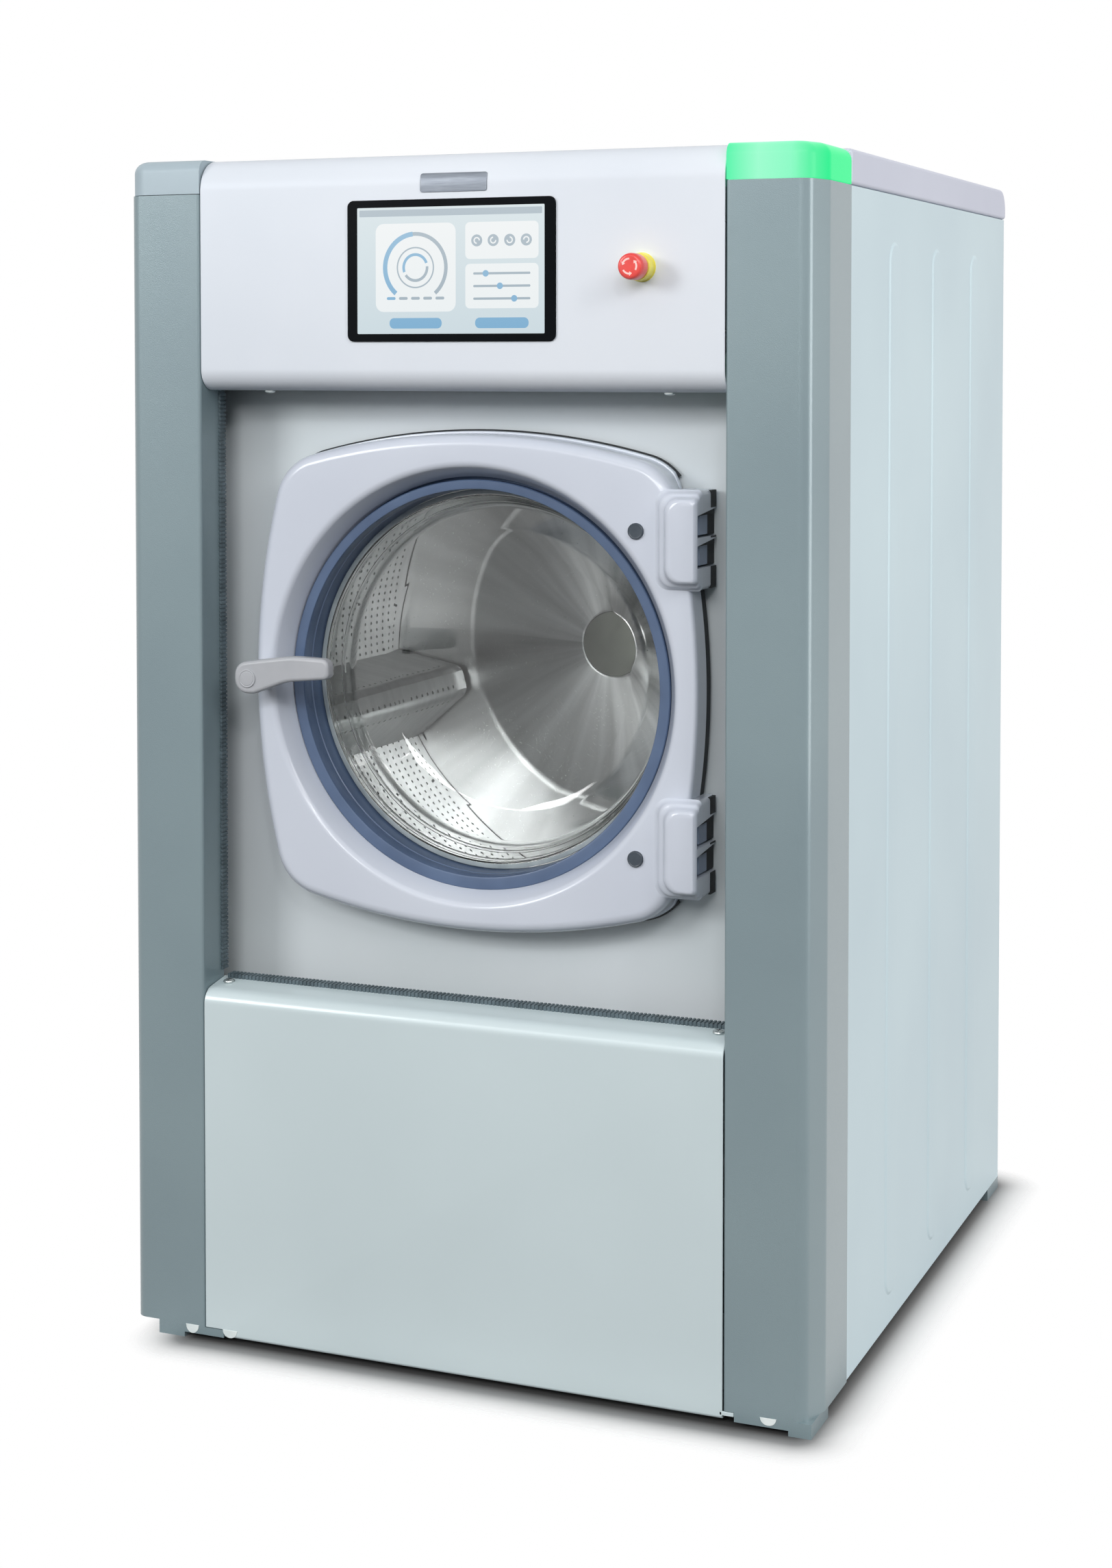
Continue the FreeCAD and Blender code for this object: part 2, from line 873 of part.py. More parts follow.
def lower_front_panel():
    body = new_body("lower_front_panel")
    x_half = mid_half
    y_in = front + dim.skin
    outline = poly(
        (deep(dim.hem), dim.panel_foot),
        (front, dim.panel_foot, dim.col_edge_r),
        (front, dim.ledge_front, dim.ledge_r),
        (deep(dim.ledge_d), dim.ledge_back),
        (deep(dim.ledge_d), dim.ledge_back - dim.skin),
        (y_in, dim.ledge_front - dim.skin, dim.ledge_r - dim.skin),
        (y_in, dim.panel_foot + dim.skin, dim.col_edge_r - dim.skin),
        (deep(dim.hem), dim.panel_foot + dim.skin),
    )
    pad(body, "YZ", [outline], -x_half, x_half)
    z_tab = dim.foot_h - dim.bite + dim.seam
    notch = rect(-x_half - dim.bite, -dim.shoe_left_in + dim.seam, dim.panel_foot - dim.bite, z_tab)
    pocket(body, "XZ", [notch], front, deep(dim.hem))
    tab = rect(x_half - dim.bite, dim.shoe_right_in - dim.seam, dim.panel_foot + dim.col_edge_r, z_tab)
    pad(body, "XZ", [tab], front, front + dim.skin)


def edge_trims():
    body = new_body("edge_trims")
    y_grip = deep(dim.col_return)
    z_low, z_high = dim.ledge_back + dim.trim_w, dim.panel_low - dim.seam

    def column_trim(side):
        sheet_in, sheet_out = side * mid_half, side * (mid_half + dim.col_skin)
        cheek = side * (dim.trim_w - dim.col_skin) / 2
        y_low, y_high = y_grip - dim.trim_grip, y_grip - dim.trim_grip + dim.trim_d
        return poly(
            (sheet_in, y_low),
            (sheet_in, y_grip),
            (sheet_out, y_grip),
            (sheet_out, y_low),
            (sheet_out + cheek, y_low),
            (sheet_out + cheek, y_high),
            (sheet_in - cheek, y_high),
            (sheet_in - cheek, y_low),
        )

    pad(body, "XY", both_sides(column_trim), z_low, z_high)
    y_edge, y_low = deep(dim.ledge_d), deep(dim.ledge_d) - dim.trim_grip
    z_up, z_down = dim.ledge_back, dim.ledge_back - 2 * dim.skin
    ledge_trim = poly(
        (y_low, z_up),
        (y_edge, z_up),
        (y_edge, z_down),
        (y_edge + dim.trim_grip, z_down),
        (y_edge + dim.trim_grip, z_up + dim.trim_w / 2),
        (y_low, z_up + dim.trim_w / 2),
    )
    x_half = mid_half - dim.trim_w
    pad(body, "YZ", [ledge_trim], -x_half, x_half)


def emergency_stop():
    x, z = dim.stop_x, dim.stop_z
    bore = dim.stem_r + dim.stem_play
    collar = new_body("estop_collar")
    revolve(collar, [rect(front - dim.collar_out, front, bore, dim.collar_r)], x, z)
    start = (x, front - dim.stem_out, z)
    keep(rod("estop_plunger", dim.stem_r, start, dim.stem_out + dim.stem_in, "Y"))
    head = new_body("estop_head")
    face = front - dim.head_front
    seat = front - dim.stem_out - dim.seam
    mushroom = poly(
        (face, 0),
        (face, dim.head_r - dim.head_bevel),
        (face + dim.head_bevel, dim.head_r),
        (front - dim.head_back, dim.head_r),
        (front - dim.head_back, bore),
        (seat, bore),
        (seat, 0),
    )
    revolve(head, [mushroom], x, z)


# Connections at the back


def water_inlet_valves():
    valves = []
    half = dim.valve_w / 2
    y_case = back - dim.skin
    length = dim.skin + dim.rear_reach
    for x in inlet_places():
        case = box(
            "valve_case",
            (x - half, x + half),
            (y_case - dim.valve_d, y_case),
            (dim.inlet_z - half, dim.inlet_z + half),
        )
        start = (x, y_case, dim.inlet_z)
        spout = rod("valve_spout", dim.inlet_r, start, length, "Y")
        nut = hexagon("valve_nut", dim.inlet_nut_r, (x, back, dim.inlet_z), dim.rear_flange, "Y")
        bore = rod("valve_bore", dim.inlet_bore, start, length, "Y")
        valves.append(cut("valve", fuse("valve_whole", [case, spout, nut]), bore))
    keep(group("water_inlet_valves", valves))


def cable_gland():
    x, z = dim.gland_x, dim.inlet_z
    stem = rod("gland_stem", dim.gland_r, (x, back - dim.gland_out, z), 2 * dim.gland_out, "Y")
    nut = hexagon("gland_nut", dim.gland_nut, (x, back, z), dim.gland_out / 2, "Y")
    keep(fuse("cable_gland", [stem, nut]))


def control_box():
    body = new_body("control_box")
    left, right = dim.box_x, dim.box_x + dim.box_w
    y_high = back - dim.gland_out - dim.skin
    pad(body, "XZ", [rect(left, right, dim.box_low, dim.box_high)], y_high - dim.box_d, y_high)
    edges = (left - dim.box_lip, right + dim.box_lip - dim.box_post)
    posts = [rect(x, x + dim.box_post, dim.box_low, dim.box_high) for x in edges]
    pad(body, "XZ", posts, y_high - dim.box_lip, back - dim.skin)


def drain_pipe():
    y, z_run = deep(dim.drain_y), rail_top + dim.drain_r
    r_in = dim.drain_r - dim.drain_wall
    run = back + dim.rear_reach - y
    sump = rod("sump", dim.drain_r, (0, y, rail_top), dim.sleeve_low - rail_top)
    pipe = rod("outlet", dim.drain_r, (0, y, z_run), run, "Y")
    rim = rod("outlet_rim", dim.drain_flange_r, (0, back, z_run), dim.rear_flange, "Y")
    z_floor = rail_top + dim.drain_wall
    sump_bore = rod("sump_bore", r_in, (0, y, z_floor), dim.sleeve_low - z_floor)
    pipe_bore = rod("outlet_bore", r_in, (0, y, z_run), run, "Y")
    walls = fuse("drain_walls", [sump, pipe, rim])
    keep(cut("drain_pipe", walls, fuse("drain_bores", [sump_bore, pipe_bore])))


# Suspended unit


def front_plate():
    body = new_body("front_plate")
    half = dim.plate_half
    plate = rect(-half, half, dim.plate_low, dim.axis_z + half, dim.plate_r)
    mouth = circle(0, dim.axis_z, dim.mouth_r)
    lock = circle(dim.handle_x, dim.handle_z, dim.lock_hole_r)
    y = deep(dim.plate_y)
    pad(body, "XZ", [plate, mouth], y, y + dim.plate_t)
    pocket(body, "XZ", [lock], y, y + dim.plate_t)


def tub():
    shell = new_body("tub_shell")
    y_low, y_high = deep(dim.plate_y + dim.plate_t), deep(dim.tub_back)
    revolve(shell, [rect(y_low, y_high, dim.tub_r - dim.tub_t, dim.tub_r)], 0, dim.axis_z)
    end = new_body("tub_back_plate")
    hole = dim.hub_out_r + dim.shaft_play
    revolve(end, [rect(y_high, y_high + dim.tub_t, hole, dim.tub_r)], 0, dim.axis_z)
    seal = new_body("tub_gasket")
    lip = rect(deep(dim.gasket_front), deep(dim.plate_y), dim.gasket_in_r, dim.gasket_out_r)
    revolve(seal, [lip], 0, dim.axis_z)


def hinge_levels():
    """The low z of each hinge lug."""
    return [
        middle + sign * dim.lug_rise - dim.lug_h / 2
        for middle in (dim.boss_low, dim.boss_high)
        for sign in (-1, 1)
    ]


def hinges():
    brackets = new_body("hinge_brackets")
    y_low, y_high = deep(dim.hinge_y) - dim.lug_left, deep(dim.plate_y)
    left, right = dim.hinge_x - dim.lug_left, dim.hinge_x + dim.lug_right
    slant = dim.lug_bevel
    lug = poly(
        (left, y_low + slant),
        (left + slant, y_low),
        (right - slant, y_low),
        (right, y_low + slant),
        (right, y_high),
        (left, y_high),
    )
    hole = circle(dim.hinge_x, deep(dim.hinge_y), dim.pin_r)
    for low in hinge_levels():
        pad(brackets, "XY", [lug, hole], low, low + dim.lug_h)
    pins = []
    length = 2 * (dim.boss_half - dim.boss_wall)
    for middle in (dim.boss_low, dim.boss_high):
        start = (dim.hinge_x, deep(dim.hinge_y), middle - length / 2)
        pins.append(rod("pin", dim.pin_r, start, length))
    keep(group("hinge_pins", pins))


def door_lock():
    body = new_body("door_lock")
    y_low = deep(dim.plate_y + dim.plate_t)
    z_low, z_high = dim.handle_z - dim.lock_half_h, dim.handle_z + dim.lock_half_h
    case = rect(dim.lock_left, dim.lock_right, z_low, z_high)
    pad(body, "XZ", [case], y_low, deep(dim.lock_back))
    throat = circle(dim.handle_x, dim.handle_z, dim.lock_hole_r - dim.seam)
    pocket(body, "XZ", [throat], y_low, deep(dim.lock_back) - dim.cap_wall)


def bearing_housing():
    body = new_body("bearing_housing")
    y_low, y_high = deep(dim.tub_hub_y), deep(dim.hub_back)
    bore = dim.shaft_r + dim.shaft_play
    tube = poly(
        (y_low, bore),
        (y_low, dim.hub_out_r),
        (y_high, dim.hub_out_r),
        (y_high, bore),
        (y_high - dim.bearing_w, bore),
        (y_high - dim.bearing_w, dim.bearing_r),
        (y_low + dim.bearing_w, dim.bearing_r),
        (y_low + dim.bearing_w, bore),
    )
    revolve(body, [tube], 0, dim.axis_z)
    half = dim.hub_web_t / 2
    y_web = deep(dim.tub_back) + dim.tub_t
    rib = rect(-half, half, dim.hub_out_r - dim.bite, dim.hub_web_r)
    web = pad(body, "XZ", [rib], y_web, y_web + dim.hub_web_h, rise=dim.axis_z)
    axis = (web.Profile[0], ["N_Axis"])
    repeat(body, [web], "PolarPattern", "Axis", axis, dim.hub_web_count, as_size(360))


def drive_motor():
    body = new_body("drive_motor")
    x, z = dim.motor_x, dim.motor_z
    y_low, y_high = deep(dim.motor_front), deep(dim.motor_back)
    bore = dim.motor_shaft_r + dim.shaft_play
    y_socket = y_high - dim.motor_socket
    case = poly(
        (y_low, 0),
        (y_low, dim.motor_r),
        (y_high, dim.motor_r),
        (y_high, bore),
        (y_socket, bore),
        (y_socket, 0),
    )
    revolve(body, [case], x, z)
    terminal = centred(x - dim.motor_r, z, dim.terminal_w, dim.terminal_h)
    y_box = y_low + dim.terminal_w
    pad(body, "XZ", [terminal], y_box, y_box + dim.terminal_d)


def motor_bracket():
    y_low, y_high = deep(dim.motor_front) + dim.bracket_inset, deep(dim.motor_back) - dim.bracket_inset
    x_pair = (dim.motor_x - dim.bracket_half, dim.motor_x + dim.bracket_half)
    z_low = dim.motor_z + dim.motor_r
    plate = box("bracket_plate", x_pair, (y_low, y_high), (z_low, z_low + dim.seat_t))
    webs = [
        box("bracket_web", x_pair, (y, y + dim.seat_t), (z_low, z_low + dim.bracket_h))
        for y in (y_low, y_low + dim.terminal_d)
    ]
    keep(cut("motor_bracket", fuse("bracket_whole", [plate] + webs), tub_space()))


def belt_loop(x_1, z_1, r_1, x_2, z_2, r_2):
    """Two arcs about two centres, joined by their outer tangents."""

    def draw(sketch):
        first, second = Vector(x_1.value, z_1.value, 0), Vector(x_2.value, z_2.value, 0)
        along = second - first
        lean = math.acos((r_1.value - r_2.value) / along.Length)
        heading = math.atan2(along.y, along.x)
        arcs = []
        for centre, radius, low, high in (
            (first, r_1, heading + lean, heading - lean + 2 * math.pi),
            (second, r_2, heading - lean, heading + lean),
        ):
            ring = Part.Circle(centre, Vector(0, 0, 1), radius.value)
            arcs.append(sketch.addGeometry(Part.ArcOfCircle(ring, low, high)))
        ends = [sketch.getPoint(arcs[0], 2), sketch.getPoint(arcs[1], 1)]
        lower = sketch.addGeometry(Part.LineSegment(*ends))
        ends = [sketch.getPoint(arcs[1], 2), sketch.getPoint(arcs[0], 1)]
        upper = sketch.addGeometry(Part.LineSegment(*ends))
        chain = ((arcs[0], lower), (lower, arcs[1]), (arcs[1], upper), (upper, arcs[0]))
        for one, other in chain:
            sketch.addConstraint(Sketcher.Constraint("Tangent", one, 2, other, 1))
        for arc, radius, x, z in ((arcs[0], r_1, x_1, z_1), (arcs[1], r_2, x_2, z_2)):
            fix_radius(sketch, arc, radius)
            fix_point(sketch, arc, 3, x, z)

    return draw


def drive():
    y_low, y_high = deep(dim.pulley_y), deep(dim.pulley_y + dim.pulley_w)
    big = new_body("drum_pulley")
    y_web = y_low + dim.pulley_web
    rim_in = dim.pulley_r - dim.pulley_rim
    wheel = poly(
        (y_low, dim.shaft_r),
        (y_low, dim.pulley_r),
        (y_high, dim.pulley_r),
        (y_high, rim_in),
        (y_web, rim_in),
        (y_web, dim.pulley_hub_r),
        (y_high, dim.pulley_hub_r),
        (y_high, dim.shaft_r),
    )
    revolve(big, [wheel], 0, dim.axis_z)
    small = new_body("motor_pulley")
    y_shaft = deep(dim.motor_back) - dim.motor_shaft_in
    spool = poly(
        (y_shaft, 0),
        (y_shaft, dim.motor_shaft_r),
        (y_low, dim.motor_shaft_r),
        (y_low, dim.motor_pulley_r),
        (y_high, dim.motor_pulley_r),
        (y_high, 0),
    )
    revolve(small, [spool], dim.motor_x, dim.motor_z)
    belt = new_body("drive_belt")
    loops = []
    for lift in (dim.belt_gap, dim.belt_gap + dim.belt_t):
        big_r, small_r = dim.pulley_r + lift, dim.motor_pulley_r + lift
        loops.append(belt_loop(as_size(0), dim.axis_z, big_r, dim.motor_x, dim.motor_z, small_r))
    y_belt = (y_low + y_high - dim.belt_w) / 2
    pad(belt, "XZ", loops, y_belt, y_belt + dim.belt_w)


def tub_space():
    """The round space of the tub, to cut from what holds it."""
    start = (0, deep(dim.plate_y), dim.axis_z)
    return rod("tub_space", dim.tub_r, start, dim.tub_back - dim.plate_y + dim.tub_t, "Y")


def on_side(side, low, high):
    """A pair of x on the left or the right, in rising order."""
    return (low, high) if side > 0 else (-high, -low)


def tub_cradle(label, side):
    seat_x = on_side(side, dim.susp_x - dim.seat_half, dim.susp_x + dim.seat_half)
    wall_x = on_side(side, dim.cradle_x, dim.cradle_x + dim.cradle_t)
    y_pair = (deep(dim.cradle_front), deep(dim.cradle_back))
    seat = box("cradle_seat", seat_x, y_pair, (dim.seat_z, dim.seat_z + dim.seat_t))
    wall = box("cradle_wall", wall_x, y_pair, (dim.seat_z, dim.axis_z))
    keep(cut(label, fuse("cradle_whole", [seat, wall]), tub_space()))


def strut_places(*depths):
    """The x and y of struts on both sides."""
    return [(side * dim.susp_x, deep(y)) for side in (-1, 1) for y in depths]


def suspension_springs():
    springs = []
    length = dim.seat_z - rail_top
    for x, y in strut_places(dim.spring_front, dim.spring_back):
        skin = rod("spring_skin", dim.spring_r, (x, y, rail_top), length)
        bore = rod("spring_bore", dim.spring_r - dim.spring_wall, (x, y, rail_top), length)
        springs.append(cut("spring", skin, bore))
    keep(group("suspension_springs", springs))


def dampers():
    cylinders, rods = [], []
    z_bore = rail_top + dim.damper_r
    for x, y in strut_places(dim.damper_y):
        tube = rod("damper_tube", dim.damper_r, (x, y, rail_top), dim.damper_top - rail_top)
        bore = rod("damper_hole", dim.damper_bore, (x, y, z_bore), dim.damper_top - z_bore)
        cylinders.append(cut("damper_cylinder", tube, bore))
        rods.append(rod("damper_rod", dim.rod_r, (x, y, dim.rod_low), dim.seat_z - dim.rod_low))
    keep(group("damper_cylinders", cylinders))
    keep(group("damper_rods", rods))


def counterweight():
    body = new_body("counterweight")
    y = deep(dim.weight_front)
    outline = rect(-dim.cradle_x, dim.cradle_x, dim.weight_low, dim.weight_low + dim.weight_h)
    pad(body, "XZ", [outline], y, y + dim.weight_d)


def drain_valve():
    y, z = deep(dim.drain_y), dim.drain_valve_z
    reach = dim.axis_z - dim.tub_r - z + dim.valve_bite
    case = rod("valve_barrel", dim.drain_valve_r, (0, y, z), reach)
    spout = rod("drain_spout", dim.drain_r, (0, y, dim.sleeve_high), z - dim.sleeve_high)
    half = dim.valve_w / 2
    z_box = z + dim.valve_lap
    drive_box = box(
        "drain_drive",
        (dim.drain_valve_r - dim.valve_lap, dim.drain_valve_r + dim.valve_w),
        (y - half, y + half),
        (z_box, z_box + dim.valve_w),
    )
    keep(cut("drain_valve", fuse("drain_whole", [case, spout, drive_box]), tub_space()))
    start = (0, y, dim.sleeve_low)
    length = dim.sleeve_high - dim.sleeve_low
    skin = rod("sleeve_skin", dim.drain_r + dim.drain_wall, start, length)
    bore = rod("sleeve_bore", dim.drain_r - dim.drain_wall, start, length)
    keep(cut("drain_sleeve", skin, bore))


# Drum


def drum():
    z = dim.axis_z
    wall = dim.drum_t
    y_low, y_high = deep(dim.drum_front), deep(dim.drum_back)
    r_in = dim.drum_r - wall
    slope = dim.drum_lip
    shell = new_body("drum_shell")
    outline = poly(
        (y_high, r_in),
        (y_high, dim.drum_r),
        (y_low + slope, dim.drum_r),
        (y_low, dim.drum_r - slope),
        (y_low, dim.drum_mouth_r),
        (y_low + wall, dim.drum_mouth_r),
        (y_low + wall, r_in - slope + wall / 2),
        (y_low + slope + wall / 2, r_in),
    )
    revolve(shell, [outline], 0, z)
    end = new_body("drum_back")
    y_hub = deep(dim.drum_hub_y)
    dish = poly(
        (y_high - wall, r_in),
        (y_high - wall, dim.drum_ring_r),
        (y_hub, dim.drum_hub_r),
        (y_hub, 0),
        (y_hub + wall * 2, 0),
        (y_hub + wall * 2, dim.drum_hub_r),
        (y_high + wall, dim.drum_ring_r),
        (y_high + wall, r_in),
    )
    revolve(end, [dish], 0, z)
    shaft = new_body("drum_shaft")
    y_flange = y_hub + wall * 2
    spindle = poly(
        (y_flange, 0),
        (y_flange, dim.drum_hub_r),
        (y_flange + dim.hub_web_t, dim.drum_hub_r),
        (y_flange + dim.hub_web_t, dim.shaft_r),
        (deep(dim.shaft_end), dim.shaft_r),
        (deep(dim.shaft_end), 0),
    )
    revolve(shaft, [spindle], 0, z)


def drum_lifters():
    body = new_body("drum_lifters")
    reach, half, wall = dim.drum_r - dim.drum_t, dim.lifter_half, dim.drum_t
    base = Size(
        math.sqrt(reach.value**2 - half.value**2),
        f"sqrt({reach.formula}^2 - {half.formula}^2)",
    )

    def ridge(inset, radius):
        return poly(
            (-half + inset, base),
            (-dim.lifter_top + inset / 2, dim.lifter_r + inset, radius),
            (dim.lifter_top - inset / 2, dim.lifter_r + inset, radius),
            (half - inset, base),
        )

    y_low, y_high = deep(dim.lifter_front), deep(dim.lifter_back)
    turned = {"rise": dim.axis_z, "turn": dim.lifter_angle}
    beam = pad(body, "XZ", [ridge(as_size(0), dim.lifter_round)], y_low, y_high, **turned)
    inside = [ridge(wall, dim.lifter_round - wall)]
    hollow = pocket(body, "XZ", inside, y_low + wall, y_high - wall, **turned)
    axis = (beam.Profile[0], ["N_Axis"])
    repeat(body, [beam, hollow], "PolarPattern", "Axis", axis, dim.lifter_count, as_size(360))


# Door


def bulged_square(z, half_width, half_height, side_r, top_r, corner_r):
    """Four bulging arcs joined by four corner arcs."""

    def draw(sketch):
        side_c, top_c = half_width - side_r, half_height - top_r
        reach_side, reach_top = side_r.value - corner_r.value, top_r.value - corner_r.value
        gap = math.hypot(side_c.value, top_c.value)
        along = (reach_side**2 - reach_top**2 + gap**2) / (2 * gap)
        aside = math.sqrt(reach_side**2 - along**2)
        ux, uy = -side_c.value / gap, top_c.value / gap
        corner = Vector(side_c.value + along * ux - aside * uy, along * uy + aside * ux, 0)
        tilt = math.atan2(corner.y, corner.x - side_c.value)
        lean = math.atan2(corner.y - top_c.value, corner.x)
        right_angle = math.pi / 2
        arcs = []
        for turn in range(4):
            sideways = turn % 2 == 0
            spread = tilt if sideways else right_angle - lean
            radius, centre = (side_r, side_c) if sideways else (top_r, top_c)
            sign = 1 if turn < 2 else -1
            x = sign * centre if sideways else as_size(0)
            y = z if sideways else z + sign * centre
            ring = Part.Circle(Vector(x.value, y.value, 0), Vector(0, 0, 1), radius.value)
            middle = turn * right_angle
            arc = Part.ArcOfCircle(ring, middle - spread, middle + spread)
            arcs.append((sketch.addGeometry(arc), radius, x, y))
            corner_sign = ((1, 1), (-1, 1), (-1, -1), (1, -1))[turn]
            spot = Vector(corner.x * corner_sign[0], z.value + corner.y * corner_sign[1], 0)
            ring = Part.Circle(spot, Vector(0, 0, 1), corner_r.value)
            next_spread = right_angle - lean if sideways else tilt
            arc = Part.ArcOfCircle(ring, middle + spread, middle + right_angle - next_spread)
            arcs.append((sketch.addGeometry(arc), corner_r, None, None))
        for i, (arc, radius, x, y) in enumerate(arcs):
            following = arcs[(i + 1) % len(arcs)][0]
            sketch.addConstraint(Sketcher.Constraint("Tangent", arc, 2, following, 1))
            fix_radius(sketch, arc, radius)
            if x is not None:
                fix_point(sketch, arc, 3, x, y)

    return draw


def hinge_boss(body, middle):
    """A raised housing with sloped borders for one hinge."""
    left, right, half = dim.boss_left, dim.boss_right, dim.boss_half
    y_foot = deep(dim.door_front) - dim.bite
    foot = rect(left, right, middle - half, middle + half, dim.boss_r)
    pad(body, "XZ", [foot], y_foot, deep(dim.door_back))
    flat = dim.boss_flat_half
    crown = rect(dim.boss_flat_left, right, middle - flat, middle + flat, dim.boss_r)
    loft = body.newObject("PartDesign::AdditiveLoft", "boss_loft")
    loft.Profile = new_sketch(body, "XZ", [foot], -y_foot)
    loft.Sections = [new_sketch(body, "XZ", [crown], -deep(dim.boss_front))]
    body.Tip = loft


def door_frame():
    body = new_body("door_frame")
    y_low, y_high = deep(dim.door_front), deep(dim.door_back)
    outline = bulged_square(
        dim.door_z,
        dim.door_half_w,
        dim.door_half_h,
        dim.door_side_r,
        dim.door_top_r,
        dim.door_corner_r,
    )
    pad(body, "XZ", [outline], y_low, y_high)
    bevel(body, dim.door_bevel, lambda e: near(e.BoundBox.YMax, y_low))
    for middle in (dim.boss_high, dim.boss_low):
        hinge_boss(body, middle)
    bevel(body, dim.boss_bevel, lambda e: near(e.BoundBox.YMax, deep(dim.boss_front)))
    opening = poly(
        (y_low - dim.bite, 0),
        (y_low - dim.bite, dim.lip_r + dim.lip_bevel),
        (y_low, dim.lip_r + dim.lip_bevel),
        (y_low + dim.lip_bevel, dim.lip_r),
        (deep(dim.cone_y), dim.cone_r),
        (y_high + dim.bite, dim.cone_r),
        (y_high + dim.bite, 0),
    )
    revolve(body, [opening], 0, dim.axis_z, "Groove")
    right = dim.boss_right + dim.lug_right
    slots = [
        rect(
            dim.hinge_x - dim.lug_right - dim.lug_play,
            right,
            low - dim.lug_play,
            low + dim.lug_h + dim.lug_play,
        )
        for low in hinge_levels()
    ]
    pocket(body, "XZ", slots, deep(dim.boss_front) + dim.boss_wall, y_high)
    reach = dim.boss_half - dim.boss_wall
    bore = circle(dim.hinge_x, deep(dim.hinge_y), dim.pin_r + dim.pin_play)
    for middle in (dim.boss_low, dim.boss_high):
        pocket(body, "XY", [bore], middle - reach, middle + reach)
    shaft_hole = circle(dim.handle_x, dim.handle_z, dim.latch_r + dim.latch_play)
    pocket(body, "XZ", [shaft_hole], y_low - dim.bite, y_high)


def door_glazing():
    z = dim.axis_z
    ring = new_body("door_inner_ring")
    y_face, y_back = deep(dim.cone_y), deep(dim.door_back)
    rim = dim.cone_r
    tube_out = dim.tube_r + dim.tube_t
    outline = poly(
        (y_face, dim.tube_r),
        (y_face, rim),
        (y_back, rim),
        (y_back, tube_out),
        (deep(dim.tube_back), tube_out),
        (deep(dim.tube_back), dim.tube_r),
    )
    revolve(ring, [outline], 0, z)
    bowl = new_body("door_glass")
    rim = dim.tube_r
    y_rim, y_knee, y_end = deep(dim.bowl_front), deep(dim.bowl_knee), deep(dim.bowl_end)
    wall = dim.bowl_t
    dome = poly(
        (y_rim, rim - wall),
        (y_rim, rim),
        (y_knee, dim.bowl_knee_r),
        (y_end, dim.bowl_end_r),
        (y_end, 0),
        (y_end - wall, 0),
        (y_end - wall, dim.bowl_end_r - wall / 2),
        (y_knee - wall / 2, dim.bowl_knee_r - wall),
    )
    revolve(bowl, [dome], 0, z)
    y = deep(dim.door_front)
    plugs = [
        rod("plug", dim.plug_r, (dim.plug_x, y - dim.plug_t, level), dim.plug_t, "Y")
        for level in (dim.plug_low, dim.plug_high)
    ]
    keep(group("door_plugs", plugs))


def handle():
    lever = new_body("handle_lever")
    x, z, r = dim.handle_x, dim.handle_z, dim.lever_r
    x_tip = x + dim.lever_tip_x
    round_r = r - dim.bite
    arm = poly(
        (x - r, z - r, round_r),
        (x + dim.lever_heel_x, z - r, dim.lever_heel_r),
        (x + dim.lever_waist_x, z + dim.lever_waist_z, dim.lever_waist_r),
        (x_tip, z + dim.lever_tip_low, dim.lever_tip_low_r),
        (x_tip, z + dim.lever_tip_high, dim.lever_tip_high_r),
        (x + dim.lever_back_x, z + dim.lever_back_z, dim.lever_back_r),
        (x + dim.lever_neck_x, z + dim.lever_neck_z, dim.lever_neck_r),
        (x - r, z + r - dim.bite, round_r - dim.bite),
    )
    pad(lever, "XZ", [arm], front, front + dim.lever_t)
    bevel(lever, dim.lever_bevel, lambda e: near(e.BoundBox.YMax, front))
    hub = circle(x, z, dim.lever_hub_r)
    pad(lever, "XZ", [hub], front + dim.lever_t, deep(dim.door_front) - dim.seam)
    bore = circle(x, z, dim.latch_r)
    pocket(lever, "XZ", [bore], front + dim.lever_bevel, deep(dim.door_front))
    keep(rod("handle_cap", dim.cap_disc_r, (x, front - dim.cap_disc_t, z), dim.cap_disc_t, "Y"))
    latch = new_body("latch_shaft")
    y_cam = deep(dim.door_back) + dim.seam
    pad(latch, "XZ", [circle(x, z, dim.latch_r)], front + dim.lever_bevel, y_cam)
    pad(latch, "XZ", [circle(x + dim.latch_cam_x, z, dim.latch_cam_r)], y_cam, deep(dim.latch_back))


# Assembly

foot_plates()
base_frame()
column("left_column", -1)
column("right_column", 1)
column_cap("left_column_cap", -1)
column_cap("status_light_cap", 1)
side_panel("side_panel_left", -1)
side_panel("side_panel_right", 1)
top_lid()
back_panel()
service_cover()
control_panel()
touchscreen()
lower_front_panel()
edge_trims()
emergency_stop()
water_inlet_valves()
cable_gland()
control_box()
drain_pipe()
front_plate()
tub()
hinges()
door_lock()
bearing_housing()
drive_motor()
motor_bracket()
drive()
tub_cradle("tub_cradle_left", -1)
tub_cradle("tub_cradle_right", 1)
suspension_springs()
dampers()
counterweight()
drain_valve()
drum()
drum_lifters()
door_frame()
door_glazing()
handle()

doc.recompute()
for thing in doc.Objects:
    if any(word in thing.State for word in ("Invalid", "Error")):
        raise RuntimeError(f"{thing.Label}: {thing.State}")
for node in nodes:
    if node.Shape.isNull() or not node.Shape.isValid():
        raise RuntimeError(node.Label + ": no valid shape")

os.makedirs("parts", exist_ok=True)
for node in nodes:
    node.Shape.exportStep(f"parts/{node.Label}.step")
print(len(nodes), "nodes written")
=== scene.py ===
import json
import math

